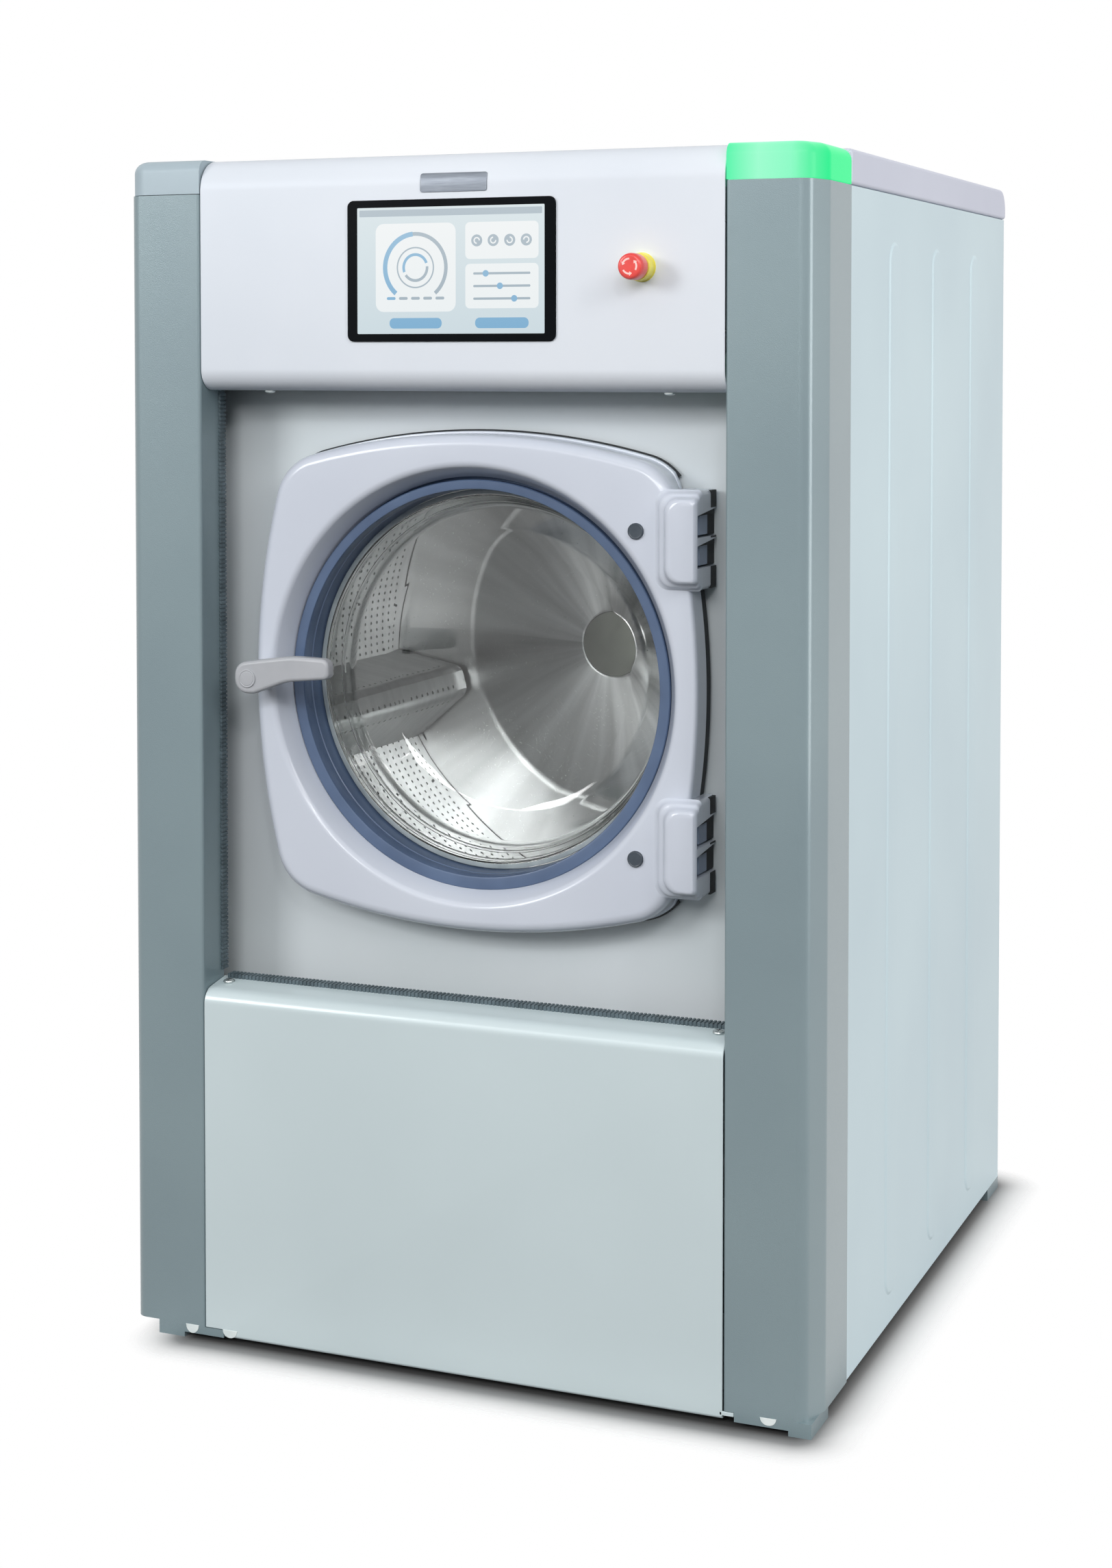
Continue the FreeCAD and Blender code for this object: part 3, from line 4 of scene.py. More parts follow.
import bmesh
import bpy
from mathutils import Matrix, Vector


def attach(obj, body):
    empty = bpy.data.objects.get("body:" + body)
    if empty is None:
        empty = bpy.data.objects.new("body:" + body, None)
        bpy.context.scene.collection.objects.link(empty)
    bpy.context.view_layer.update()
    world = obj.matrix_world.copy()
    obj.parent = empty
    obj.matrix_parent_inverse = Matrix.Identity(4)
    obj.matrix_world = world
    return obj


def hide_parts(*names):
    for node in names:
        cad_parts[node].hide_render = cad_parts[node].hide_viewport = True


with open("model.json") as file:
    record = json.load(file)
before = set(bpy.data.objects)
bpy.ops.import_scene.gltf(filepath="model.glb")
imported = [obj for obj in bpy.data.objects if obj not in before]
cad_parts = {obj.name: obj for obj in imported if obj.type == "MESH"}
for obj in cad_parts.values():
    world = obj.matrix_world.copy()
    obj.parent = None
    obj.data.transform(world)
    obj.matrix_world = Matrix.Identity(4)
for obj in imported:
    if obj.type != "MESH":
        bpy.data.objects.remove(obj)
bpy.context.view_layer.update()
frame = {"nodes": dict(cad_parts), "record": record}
nodes = frame["nodes"]
scene = bpy.context.scene

# Shared sizes in millimetres; depths are measured back from the front plane
MM = 0.001
FRONT, BACK = -422.5, 422.5
HALF_W = 395.0
MID = 299.0
TOP = 1292.0
FOOT = 15.0
SEAM, FINE_SEAM = 0.6, 0.4
SHEET = 2.0
SIDE_D = 118.0
BEVEL_X, BEVEL_D = 11.0, 40.0
COLUMN_SKIN, COLUMN_RETURN = 2.5, 45.0
CAP_LOW, CAP_ROUND = 1255.0, 13.0
FLANGE = 28.0
RIB_FIRST, RIB_PITCH, RIB_COUNT = 297.0, 190.0, 3
RIB_HALF, RIB_LOW, RIB_HIGH = 23.0, 47.0, 1203.0
RIB_PROFILE = [(-1.2, -0.1), (0.0, 0.1), (1.0, 0.6), (2.0, 1.2), (3.0, 1.5), (4.5, 1.6)]
RIB_RISE = RIB_PROFILE[-1][1]
PANEL_LOW, PANEL_UNDER, PANEL_BEND = 1043.0, 68.0, 34.0
PANEL_TOP = TOP - FINE_SEAM
LEDGE_FRONT, LEDGE_BACK, LEDGE_D = 387.0, 394.0, 46.0
HEM, PANEL_FOOT = 18.0, 6.0
NOTCH_TOP = 14.4
TRIM_PITCH, TRIM_RIB = 4.5, 2.9
TRIM_LOW, TRIM_HIGH = 402.0, 1042.0
SCREEN_X, SCREEN_Z, SCREEN_Y = -1.0, 1169.0, FRONT - 2.7
PLATE_X, PLATE_Z = 2.4, 1260.0
STOP_X, STOP_Z, STOP_FACE = 210.5, 1169, FRONT - 36
AXIS_Z = 731.0
DOOR_Z = 733.0
DOOR_SIDE, DOOR_TOP = 259, 267
SIDE_R, TOP_R, CORNER_R = 800, 750, 62
UNDERCUT = 9.0
DOOR_REAR = 82.0
WINDOW_R = 221.0
BOSS_LEVELS = (575, 892)
LUG_SHIFT, LUG_HALF = 15.5, 10
HANDLE_X, HANDLE_Z = -243, 732
DRUM_R, DRUM_START, DRUM_LONG = 325, 147, 409
SHELL_T = 2
LIFTER_HALF, LIFTER_TOP, LIFTER_R = 56, 17, 241
LIFTER_START, LIFTER_LONG = 152, 398


# Materials
COAT_ROUGH = 0.12
GLASS_IOR = 1.45
SCREEN_SPAN = (1.10, 1.235)


def colour(code):
    """A written sRGB colour as linear RGBA."""
    parts = [int(code[i : i + 2], 16) / 255 for i in (1, 3, 5)]
    return [p / 12.92 if p <= 0.04045 else ((p + 0.055) / 1.055) ** 2.4 for p in parts] + [1.0]


def noise(tree, vector, scale, detail):
    """Cloudy noise over a vector."""
    node = tree.nodes.new("ShaderNodeTexNoise")
    node.inputs["Scale"].default_value = scale
    node.inputs["Detail"].default_value = detail
    tree.links.new(vector, node.inputs["Vector"])
    return node.outputs["Fac"]


def ramp(tree, factor, stops):
    """Colours at given places along a factor."""
    node = tree.nodes.new("ShaderNodeValToRGB")
    elements = node.color_ramp.elements
    while len(elements) < len(stops):
        elements.new(0.5)
    for element, (position, code) in zip(elements, stops):
        element.position = position
        element.color = colour(code)
    tree.links.new(factor, node.inputs["Fac"])
    return node.outputs["Color"]


def rescale(tree, value, low, high, from_low=0.0, from_high=1.0):
    """A value moved from one range to another."""
    node = tree.nodes.new("ShaderNodeMapRange")
    node.inputs["From Min"].default_value = from_low
    node.inputs["From Max"].default_value = from_high
    node.inputs["To Min"].default_value = low
    node.inputs["To Max"].default_value = high
    tree.links.new(value, node.inputs["Value"])
    return node.outputs["Result"]


def calc(tree, operation, first, second):
    """One step of arithmetic on a socket and a number or another socket."""
    node = tree.nodes.new("ShaderNodeMath")
    node.operation = operation
    tree.links.new(first, node.inputs[0])
    if isinstance(second, float):
        node.inputs[1].default_value = second
    else:
        tree.links.new(second, node.inputs[1])
    return node.outputs["Value"]


def object_place(tree, stretch=(1, 1, 1)):
    """The place on the object in metres, stretched along its axes."""
    coordinates = tree.nodes.new("ShaderNodeTexCoord")
    mapping = tree.nodes.new("ShaderNodeMapping")
    mapping.inputs["Scale"].default_value = stretch
    tree.links.new(coordinates.outputs["Object"], mapping.inputs["Vector"])
    return mapping.outputs["Vector"]


def surface(
    name,
    dark,
    light,
    rough,
    metallic=0.0,
    blotch=4.0,
    grain=900.0,
    relief=0.05,
    stretch=(1, 1, 1),
    coat=0.0,
    gloss=0.5,
    spread=0.07,
):
    """Cloudy colour, uneven gloss and a fine relief."""
    material = bpy.data.materials.new(name)
    material.use_nodes = True
    tree = material.node_tree
    shader = tree.nodes["Principled BSDF"]
    shader.inputs["Metallic"].default_value = metallic
    shader.inputs["Specular IOR Level"].default_value = gloss
    shader.inputs["Coat Weight"].default_value = coat
    shader.inputs["Coat Roughness"].default_value = COAT_ROUGH
    place = object_place(tree, stretch)
    cloud = noise(tree, place, blotch, 3.0)
    tree.links.new(ramp(tree, cloud, [(0.35, dark), (0.65, light)]), shader.inputs["Base Color"])
    speck = noise(tree, place, grain, 2.0)
    tree.links.new(rescale(tree, speck, rough - spread, rough + spread), shader.inputs["Roughness"])
    bump = tree.nodes.new("ShaderNodeBump")
    bump.inputs["Strength"].default_value = relief
    bump.inputs["Distance"].default_value = MM
    tree.links.new(speck, bump.inputs["Height"])
    tree.links.new(bump.outputs["Normal"], shader.inputs["Normal"])
    return material


def brushed(name, dark, light, rough):
    """Metal turned on a lathe with anisotropic gloss about the drum's axis, and painted highlight streaks,
    lighter and darker by angle, that run out from the axis.
    """
    material = surface(name, dark, light, rough, 1.0, 9.0, 500.0, 0.0, spread=0.015)
    tree = material.node_tree
    shader = tree.nodes["Principled BSDF"]
    shader.inputs["Anisotropic"].default_value = 0.75
    tangent = tree.nodes.new("ShaderNodeTangent")
    tangent.direction_type = "RADIAL"
    tangent.axis = "Y"
    tree.links.new(tangent.outputs["Tangent"], shader.inputs["Tangent"])
    parts = tree.nodes.new("ShaderNodeSeparateXYZ")
    tree.links.new(object_place(tree), parts.inputs["Vector"])
    height = calc(tree, "SUBTRACT", parts.outputs["Z"], AXIS_Z * MM)
    turn = tree.nodes.new("ShaderNodeCombineXYZ")
    tree.links.new(calc(tree, "ARCTAN2", height, parts.outputs["X"]), turn.inputs["X"])
    tree.links.new(parts.outputs["Y"], turn.inputs["Y"])
    painted_highlight_streak = noise(tree, turn.outputs["Vector"], 4.0, 3.0)
    tree.links.new(ramp(tree, painted_highlight_streak, [(0.3, dark), (0.7, light)]), shader.inputs["Base Color"])
    return material


def lit(name, stops, axis, low, high, strength, rough, under="#262C30"):
    """A plastic or display that glows, paler or deeper along one axis."""
    material = surface(name, under, under, rough, gloss=0.1)
    tree = material.node_tree
    shader = tree.nodes["Principled BSDF"]
    parts = tree.nodes.new("ShaderNodeSeparateXYZ")
    tree.links.new(object_place(tree), parts.inputs["Vector"])
    along = rescale(tree, parts.outputs[axis], 0.0, 1.0, low, high)
    tree.links.new(ramp(tree, along, stops), shader.inputs["Emission Color"])
    shader.inputs["Emission Strength"].default_value = strength
    return material


def clear_glass(name):
    """Glass that lets lamp light through to what lies behind it."""
    material = surface(name, "#FAFBFB", "#FDFEFE", 0.012, relief=0.001, grain=60.0, spread=0.01)
    tree = material.node_tree
    shader = tree.nodes["Principled BSDF"]
    shader.inputs["Transmission Weight"].default_value = 1.0
    shader.inputs["IOR"].default_value = GLASS_IOR
    open_air = tree.nodes.new("ShaderNodeBsdfTransparent")
    open_air.inputs["Color"].default_value = (0.96, 0.97, 0.97, 1.0)
    path = tree.nodes.new("ShaderNodeLightPath")
    mix = tree.nodes.new("ShaderNodeMixShader")
    tree.links.new(path.outputs["Is Shadow Ray"], mix.inputs["Fac"])
    tree.links.new(shader.outputs["BSDF"], mix.inputs[1])
    tree.links.new(open_air.outputs["BSDF"], mix.inputs[2])
    tree.links.new(mix.outputs["Shader"], tree.nodes["Material Output"].inputs["Surface"])
    return material


GREEN_STOPS = [(0.0, "#58F7AE"), (0.35, "#A4FFD4"), (0.7, "#92FDCA"), (1.0, "#00F08C")]
PANE_STOPS = [(0.0, "#D3E1E7"), (1.0, "#E4EEF1")]
LOOKS = {}


def paint(name, *values, **more):
    """A surface kept under its slot's name."""
    LOOKS[name] = surface(name, *values, **more)


paint("column_grey", "#7C8E94", "#84969B", 0.32, 0.15, 3.0, 1300.0, 0.2, coat=0.45, gloss=0.35)
paint("panel_silver", "#DAE0E8", "#E1E6ED", 0.42, 0.05, 3.0, 1200.0, 0.03, gloss=0.03)
paint("plate_grey", "#D0D8DB", "#D6DCE0", 0.42, 0.05, 3.0, 1100.0, 0.03, gloss=0.2)
paint("lower_grey", "#CBD9DC", "#D1DFE2", 0.36, 0.05, 2.5, 1200.0, 0.03, coat=0.45, gloss=0.3)
paint("side_pale", "#C9DBE2", "#D0E2E8", 0.42, 0.05, 2.5, 1200.0, 0.04, gloss=0.3)
paint("lid_pale", "#CACDDC", "#D1D4E2", 0.42, 0.05, 3.0, 1200.0, 0.04, gloss=0.3)
paint("door_silver", "#CED4E0", "#D5DBE6", 0.24, 0.0, 4.0, 800.0, 0.02, coat=0.4, gloss=0.3)
paint("ring_blue", "#495C7A", "#556988", 0.36, 0.05, 14.0, 700.0, 0.05, coat=0.1)
LOOKS["clear_glass"] = clear_glass("clear_glass")
paint("dark_plug", "#303A44", "#3C4650", 0.35, 0.0, 60.0, 900.0, 0.04)
paint("handle_grey", "#ABAEB3", "#B4B6BB", 0.38, 0.0, 20.0, 1400.0, 0.06)
paint("cap_grey", "#A2B2BA", "#ABBAC2", 0.42, 0.05, 8.0, 1200.0, 0.05, gloss=0.25)
LOOKS["status_green"] = lit("status_green", GREEN_STOPS, "X", MID * MM, HALF_W * MM, 0.9, 0.3, "#0B4A2E")
paint("bezel_black", "#030609", "#06090E", 0.3, 0.0, 30.0, 900.0, 0.01, gloss=0.05)
LOOKS["screen_light"] = lit("screen_light", PANE_STOPS, "Z", *SCREEN_SPAN, 0.9, 0.2)
paint("stop_yellow", "#F2E23C", "#FBF06A", 0.35, 0.0, 60.0, 1100.0, 0.05)
paint("stop_red", "#E2352F", "#EE4A42", 0.3, 0.0, 60.0, 1100.0, 0.04, coat=0.3)
paint("stainless", "#DDDFDF", "#E7E9E9", 0.3, 1.0, 12.0, 400.0, 0.02, (1, 6, 1), spread=0.03)
paint("machined_steel", "#8E9296", "#A7AAAD", 0.28, 1.0, 30.0, 700.0, 0.05, (1, 8, 1))
paint("frame_steel", "#8B9499", "#98A1A5", 0.45, 0.6, 8.0, 800.0, 0.08)
paint("spring_steel", "#3C4246", "#4A5054", 0.4, 0.7, 20.0, 900.0, 0.08)
paint("casting", "#5C6367", "#6A7175", 0.6, 0.5, 14.0, 350.0, 0.3)
paint("pulley_alloy", "#A4A8AB", "#B5B8BB", 0.35, 0.9, 20.0, 600.0, 0.06)
paint("motor_grey", "#4E5A63", "#5A6770", 0.5, 0.3, 10.0, 700.0, 0.1)
paint("black_rubber", "#1B1E20", "#26292B", 0.65, 0.0, 30.0, 900.0, 0.15)
paint("fitting_plastic", "#3A4045", "#454B50", 0.45, 0.0, 25.0, 1000.0, 0.08)

# The hub's dark olive tone is a painted reflection, darker than its steel
hub_painted_reflection = surface("hub_painted_reflection", "#565A52", "#646860", 0.34, 1.0, 30.0, 700.0, 0.05)
drum_turned = brushed("drum_turned", "#A6A8A7", "#DCDDDC", 0.28)
trim_rubber = surface("trim_rubber", "#46545A", "#5C6B72", 0.5, 0.0, 60.0, 700.0, 0.1)
ground_edge = surface("ground_edge", "#8B9599", "#A1AAAD", 0.3, 0.0, 40.0, 700.0, 0.05)
pale_nylon = surface("pale_nylon", "#DCE6E6", "#EDF4F3", 0.4, 0.0, 60.0, 900.0, 0.06)
screw_zinc = surface("screw_zinc", "#B9C0C0", "#D2D8D7", 0.25, 0.8, 80.0, 900.0, 0.05)
# Painted shade: a near-black surface for pieces that stand in for shaded gaps, recesses and holes
painted_shade = surface("painted_shade", "#15191C", "#1E2326", 0.7, 0.0, 40.0, 600.0, 0.05)
screen_blue = lit("screen_blue", [(0.0, "#7FB2D6"), (1.0, "#A9CCE4")], "Z", *SCREEN_SPAN, 0.9, 0.25)
screen_grey = lit("screen_grey", [(0.0, "#A9B9C4"), (1.0, "#C2CED6")], "Z", *SCREEN_SPAN, 0.85, 0.25)
screen_white = lit("screen_white", [(0.0, "#F2F7F8"), (1.0, "#FBFDFD")], "Z", *SCREEN_SPAN, 0.9, 0.25)
plate_alloy = surface("plate_alloy", "#6F7680", "#7C838C", 0.32, 0.4, 40.0, 900.0, 0.04, (1, 1, 12))
# The hinge lugs' own blue-grey, darkened with painted shade for the shadow they sit in
lug_blue_shaded = surface("lug_blue_shaded", "#8E9AB0", "#99A5BA", 0.4, 0.1, 20.0, 900.0, 0.05, gloss=0.3)
stop_mark = surface("stop_mark", "#FFC9C2", "#FFD9D3", 0.4, 0.0, 60.0, 900.0, 0.03)

for subpart in frame["record"]["subparts"]:
    slots = nodes[subpart["node"]].data.materials
    slots.clear()
    slots.append(LOOKS[subpart["material_slot"]])
nodes["hinge_brackets"].data.materials[0] = lug_blue_shaded
nodes["foot_plates"].data.materials[0] = LOOKS["column_grey"]


# Forms: each returns vertices in millimetres and faces


def rounded(corners, steps):
    """A closed outline through corners (a, b), (a, b, radius) or (a, b, radius, steps)."""
    points = []
    for i, corner in enumerate(corners):
        spot = Vector(corner[:2])
        if len(corner) < 3 or corner[2] <= 0:
            points.append(tuple(spot))
            continue
        to_last = (Vector(corners[i - 1][:2]) - spot).normalized()
        to_next = (Vector(corners[(i + 1) % len(corners)][:2]) - spot).normalized()
        half = to_last.angle(to_next) / 2
        centre = spot + (to_last + to_next).normalized() * (corner[2] / math.sin(half))
        start = spot + to_last * (corner[2] / math.tan(half)) - centre
        sign = 1 if to_next.x * to_last.y - to_next.y * to_last.x > 0 else -1
        count = corner[3] if len(corner) > 3 else steps
        for k in range(count + 1):
            angle = sign * (math.pi - 2 * half) * k / count
            x = start.x * math.cos(angle) - start.y * math.sin(angle)
            y = start.x * math.sin(angle) + start.y * math.cos(angle)
            points.append((centre.x + x, centre.y + y))
    return points


def guarded(outline):
    """An outline with a point near both ends of each long run, so that the run shades as straight."""
    gap = 0.8
    points = []
    for i, corner in enumerate(outline):
        start, end = Vector(corner), Vector(outline[(i + 1) % len(outline)])
        points.append(tuple(start))
        step = (end - start).normalized() * gap
        if (end - start).length > 4 * gap:
            points += [tuple(start + step), tuple(end - step)]
    return points


def loft(rings, loop=False):
    """A skin through closed rings of equal length, with flat ends or joined to a loop."""
    count = len(rings[0])
    verts = [point for ring in rings for point in ring]
    faces = []
    for k in range(len(rings) if loop else len(rings) - 1):
        first, second = k * count, (k + 1) % len(rings) * count
        for i in range(count):
            j = (i + 1) % count
            faces.append((first + i, first + j, second + j, second + i))
    if not loop:
        faces.append(tuple(range(count))[::-1])
        faces.append(tuple(range(len(verts) - count, len(verts))))
    return verts, faces


SPOTS = {
    "x": lambda a, b, t: (t, a, b),
    "y": lambda a, b, t: (a, t, b),
    "z": lambda a, b, t: (a, b, t),
}


def prism(outline, low, high, axis):
    """An outline drawn out along one axis."""
    spot = SPOTS[axis]
    return loft([[spot(a, b, t) for a, b in outline] for t in (low, high)])


def turned(outline, x, z, steps):
    """A closed outline of (depth, radius) turned about an axis along y."""
    rings = []
    for k in range(steps):
        angle = 2 * math.pi * k / steps
        rings.append([(x + r * math.cos(angle), FRONT + d, z + r * math.sin(angle)) for d, r in outline])
    return loft(rings, loop=True)


def polar(x, z, radius, angle):
    """A point at a radius and an angle round a centre."""
    return x + radius * math.cos(angle), z + radius * math.sin(angle)


def slab(x, z, wide, high, radius, steps, front, rear):
    """A flat rounded block that faces the front."""
    a, b = wide / 2, high / 2
    corners = [(x - a, z - b), (x + a, z - b), (x + a, z + b), (x - a, z + b)]
    return prism(rounded([corner + (radius,) for corner in corners], steps), front, rear, "y")


def joined(*forms):
    """Several forms as one."""
    verts, faces = [], []
    for more_verts, more_faces in forms:
        start = len(verts)
        verts.extend(more_verts)
        faces.extend(tuple(i + start for i in face) for face in more_faces)
    return verts, faces


def perforated(point, across, along, open_cell, size):
    """A sheet of cells over point(u, v), with an eight-sided hole in the open ones."""
    edge = [(0, 0), (0.5, 0), (1, 0), (1, 0.5), (1, 1), (0.5, 1), (0, 1), (0, 0.5)]
    verts, faces = [], []
    for i in range(across):
        for j in range(along):
            start = len(verts)
            verts.extend(point((i + a) / across, (j + b) / along, 0.0) for a, b in edge)
            if not open_cell(i, j):
                faces.append(tuple(range(start, start + 8)))
                continue
            for sink in (0.0, 1.0):
                for k in range(8):
                    angle = math.pi * (k / 4 - 0.75)
                    a = 0.5 + size[0] * math.cos(angle)
                    b = 0.5 + size[1] * math.sin(angle)
                    verts.append(point((i + a) / across, (j + b) / along, sink))
            for k in range(8):
                following = (k + 1) % 8
                for level in (0, 8):
                    low = start + level
                    faces.append((low + k, low + following, low + 8 + following, low + 8 + k))
    return verts, faces


def box_form(x, y, z):
    """A block from low and high pairs."""
    outline = [(x[0], y[0]), (x[1], y[0]), (x[1], y[1]), (x[0], y[1])]
    return prism(outline, z[0], z[1], "z")


# Pieces


def finish_mesh(mesh, sharp):
    """Join doubled points, turn faces outwards and smooth all but sharp edges."""
    work = bmesh.new()
    work.from_mesh(mesh)
    bmesh.ops.remove_doubles(work, verts=work.verts, dist=1e-6)
    bmesh.ops.dissolve_degenerate(work, edges=work.edges, dist=1e-7)
    bmesh.ops.recalc_face_normals(work, faces=work.faces)
    work.to_mesh(mesh)
    work.free()
    mesh.shade_smooth()
    mesh.set_sharp_from_angle(angle=math.radians(sharp))


def plain_object(name, form):
    """A mesh object in metres."""
    verts, faces = form
    mesh = bpy.data.meshes.new(name)
    mesh.from_pydata([[c * MM for c in vert] for vert in verts], [], faces)
    thing = bpy.data.objects.new(name, mesh)
    scene.collection.objects.link(thing)
    return thing


def piece(name, form, body, slot, stands_for=(), look=None, sharp=32.0, edge=0.0, cutters=None):
    """A finished piece on a body, in its slot's look or its own, with softened edges at a given width."""
    thing = plain_object(name, form)
    finish_mesh(thing.data, sharp)
    if cutters:
        carve(thing, cutters, sharp)
    thing.data.materials.append(look or LOOKS[slot])
    if edge:
        bevel = thing.modifiers.new("edge", "BEVEL")
        bevel.width = edge * MM
        bevel.segments = 3
        bevel.limit_method = "ANGLE"
        bevel.angle_limit = math.radians(40)
        bevel.harden_normals = True
    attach(thing, body)
    if stands_for:
        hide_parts(*stands_for)
    return thing


def carve(thing, form, sharp):
    """Cut a form out of a piece for good."""
    tool = plain_object("tool", form)
    finish_mesh(tool.data, sharp)
    cut = thing.modifiers.new("cut", "BOOLEAN")
    cut.object = tool
    cut.solver = "EXACT"
    graph = bpy.context.evaluated_depsgraph_get()
    carved = bpy.data.meshes.new_from_object(thing.evaluated_get(graph))
    thing.modifiers.remove(cut)
    thing.data = carved
    bpy.data.objects.remove(tool)
    finish_mesh(carved, sharp)


# Cabinet skin


def column(side):
    """A folded column: a return inside, a broad front, a bevelled corner and a side."""
    inner, outer = side * MID, side * HALF_W
    skin = side * COLUMN_SKIN
    side_end = FRONT + SIDE_D - FINE_SEAM
    outline = rounded(
        [
            (inner, FRONT + COLUMN_RETURN),
            (inner, FRONT, 4),
            (outer - side * BEVEL_X, FRONT, 14),
            (outer, FRONT + BEVEL_D, 20),
            (outer, side_end),
            (outer - skin, side_end),
            (outer - skin, FRONT + BEVEL_D),
            (outer - side * BEVEL_X - skin, FRONT + COLUMN_SKIN, 11.5),
            (inner + skin, FRONT + COLUMN_SKIN, 1.5),
            (inner + skin, FRONT + COLUMN_RETURN),
        ],
        20,
    )
    return prism(outline, FOOT, CAP_LOW - SEAM, "z")


for side, name in ((-1, "left_column"), (1, "right_column")):
    piece(name + "_skin", column(side), "cabinet", "column_grey", [name])


def column_cap(side):
    """A cap with its front, outer and rear edges rounded over."""
    steps = 8
    spread = [(0.0, CAP_LOW), (0.0, TOP - CAP_ROUND)]
    for k in range(1, steps + 1):
        angle = math.pi / 2 * k / steps
        spread.append((CAP_ROUND * (1 - math.cos(angle)), TOP - CAP_ROUND + CAP_ROUND * math.sin(angle)))
    rings = []
    for inset, z in spread:
        inner, outer = side * (MID + 0.5), side * (HALF_W - inset)
        rear = FRONT + SIDE_D - 1.0 - inset * 0.6
        outline = rounded(
            [
                (inner, FRONT + inset),
                (outer - side * BEVEL_X, FRONT + inset, 22 - inset),
                (outer, FRONT + BEVEL_D, 30),
                (outer, rear),
                (inner, rear),
            ],
            18,
        )
        rings.append([(x, y, z) for x, y in outline])
    return loft(rings)


piece("left_cap", column_cap(-1), "cabinet", "cap_grey", ["left_column_cap"], edge=0.6)
piece("status_lens", column_cap(1), "cabinet", "status_green", ["status_light_cap"], edge=0.6)


def side_panel(side):
    """A folded sheet with three long ribs pressed outwards."""
    outer = side * (HALF_W - RIB_RISE)
    skin = side * SHEET
    lip = side * (HALF_W - FLANGE)
    start = FRONT + SIDE_D + SEAM
    sheet = rounded(
        [
            (outer, start),
            (outer, BACK, 4),
            (lip, BACK),
            (lip, BACK - SHEET),
            (outer - skin, BACK - SHEET, 2),
            (outer - skin, start),
        ],
        6,
    )
    forms = [prism(sheet, FOOT, CAP_LOW - SEAM, "z")]
    for rib in range(RIB_COUNT):
        y = FRONT + RIB_FIRST + RIB_PITCH * rib
        rings = []
        for inset, height in RIB_PROFILE:
            half = RIB_HALF - inset
            low, high, end_r = RIB_LOW + inset, RIB_HIGH - inset, half - 0.5
            corners = [(y - half, low), (y + half, low), (y + half, high), (y - half, high)]
            outline = rounded([corner + (end_r,) for corner in corners], 12)
            rings.append([(outer + side * height, a, b) for a, b in outline])
        forms.append(loft(rings))
    return joined(*forms)


for side, name in ((-1, "side_panel_left"), (1, "side_panel_right")):
    piece(name + "_sheet", side_panel(side), "cabinet", "side_pale", [name])

lid_front = FRONT + SIDE_D + SEAM
lid_outline = rounded([(lid_front, CAP_LOW), (BACK, CAP_LOW), (BACK, TOP, 25), (lid_front, TOP)], 12)
piece("lid_sheet", prism(lid_outline, -HALF_W, HALF_W, "x"), "cabinet", "lid_pale", ["top_lid"], edge=4.0)

panel_outline = rounded(
    [
        (FRONT + SIDE_D - FINE_SEAM, PANEL_TOP),
        (FRONT, PANEL_TOP, PANEL_BEND),
        (FRONT, PANEL_LOW, 23),
        (FRONT + PANEL_UNDER, PANEL_LOW),
        (FRONT + PANEL_UNDER, PANEL_LOW + SHEET),
        (FRONT + SHEET, PANEL_LOW + SHEET, 21),
        (FRONT + SHEET, PANEL_TOP - SHEET, PANEL_BEND - SHEET),
        (FRONT + SIDE_D - FINE_SEAM, PANEL_TOP - SHEET),
    ],
    16,
)
panel_span = (-MID + SEAM, MID - SEAM, "x")
panel = prism(panel_outline, *panel_span)
piece("panel_sheet", panel, "cabinet", "panel_silver", ["control_panel"], edge=0.9)

lower_outline = rounded(
    [
        (FRONT + HEM, PANEL_FOOT),
        (FRONT, PANEL_FOOT, 4),
        (FRONT, LEDGE_FRONT, 17),
        (FRONT + LEDGE_D, LEDGE_BACK),
        (FRONT + LEDGE_D, LEDGE_BACK - SHEET),
        (FRONT + SHEET, LEDGE_FRONT - SHEET, 15),
        (FRONT + SHEET, PANEL_FOOT + SHEET, 2),
        (FRONT + HEM, PANEL_FOOT + SHEET),
    ],
    14,
)
corner_tab = box_form((MID - 4, 310.6), (FRONT, FRONT + SHEET), (10, NOTCH_TOP))
corner_notch = box_form((-MID - 5, -275.6), (FRONT - 5, FRONT + 30), (0, NOTCH_TOP))
piece(
    "lower_sheet",
    joined(prism(lower_outline, *panel_span), corner_tab),
    "cabinet",
    "lower_grey",
    ["lower_front_panel"],
    edge=0.9,
    cutters=corner_notch,
)


def edge_trim():
    """Ribbed rubber strips along the column returns and the ledge."""
    forms = []
    for side in (-1, 1):
        low_x, high_x = sorted((side * (MID - 2.75), side * (MID + 5.25)))
        forms.append(box_form((low_x + 1, high_x - 1), (FRONT + 39, FRONT + 50), (TRIM_LOW, TRIM_HIGH)))
        for k in range(142):
            z = TRIM_LOW + TRIM_PITCH * k
            forms.append(box_form((low_x, high_x), (FRONT + 38, FRONT + 51), (z, z + TRIM_RIB)))
    half = MID - 8
    forms.append(box_form((-half, half), (FRONT + 40, FRONT + 52), (391, 397)))
    for k in range(129):
        x = -half + TRIM_PITCH * k
        forms.append(box_form((x, x + TRIM_RIB), (FRONT + 39, FRONT + 53), (390, 398)))
    return joined(*forms)


piece("edge_trim_ribs", edge_trim(), "cabinet", "black_rubber", ["edge_trims"], look=trim_rubber, edge=0.5)


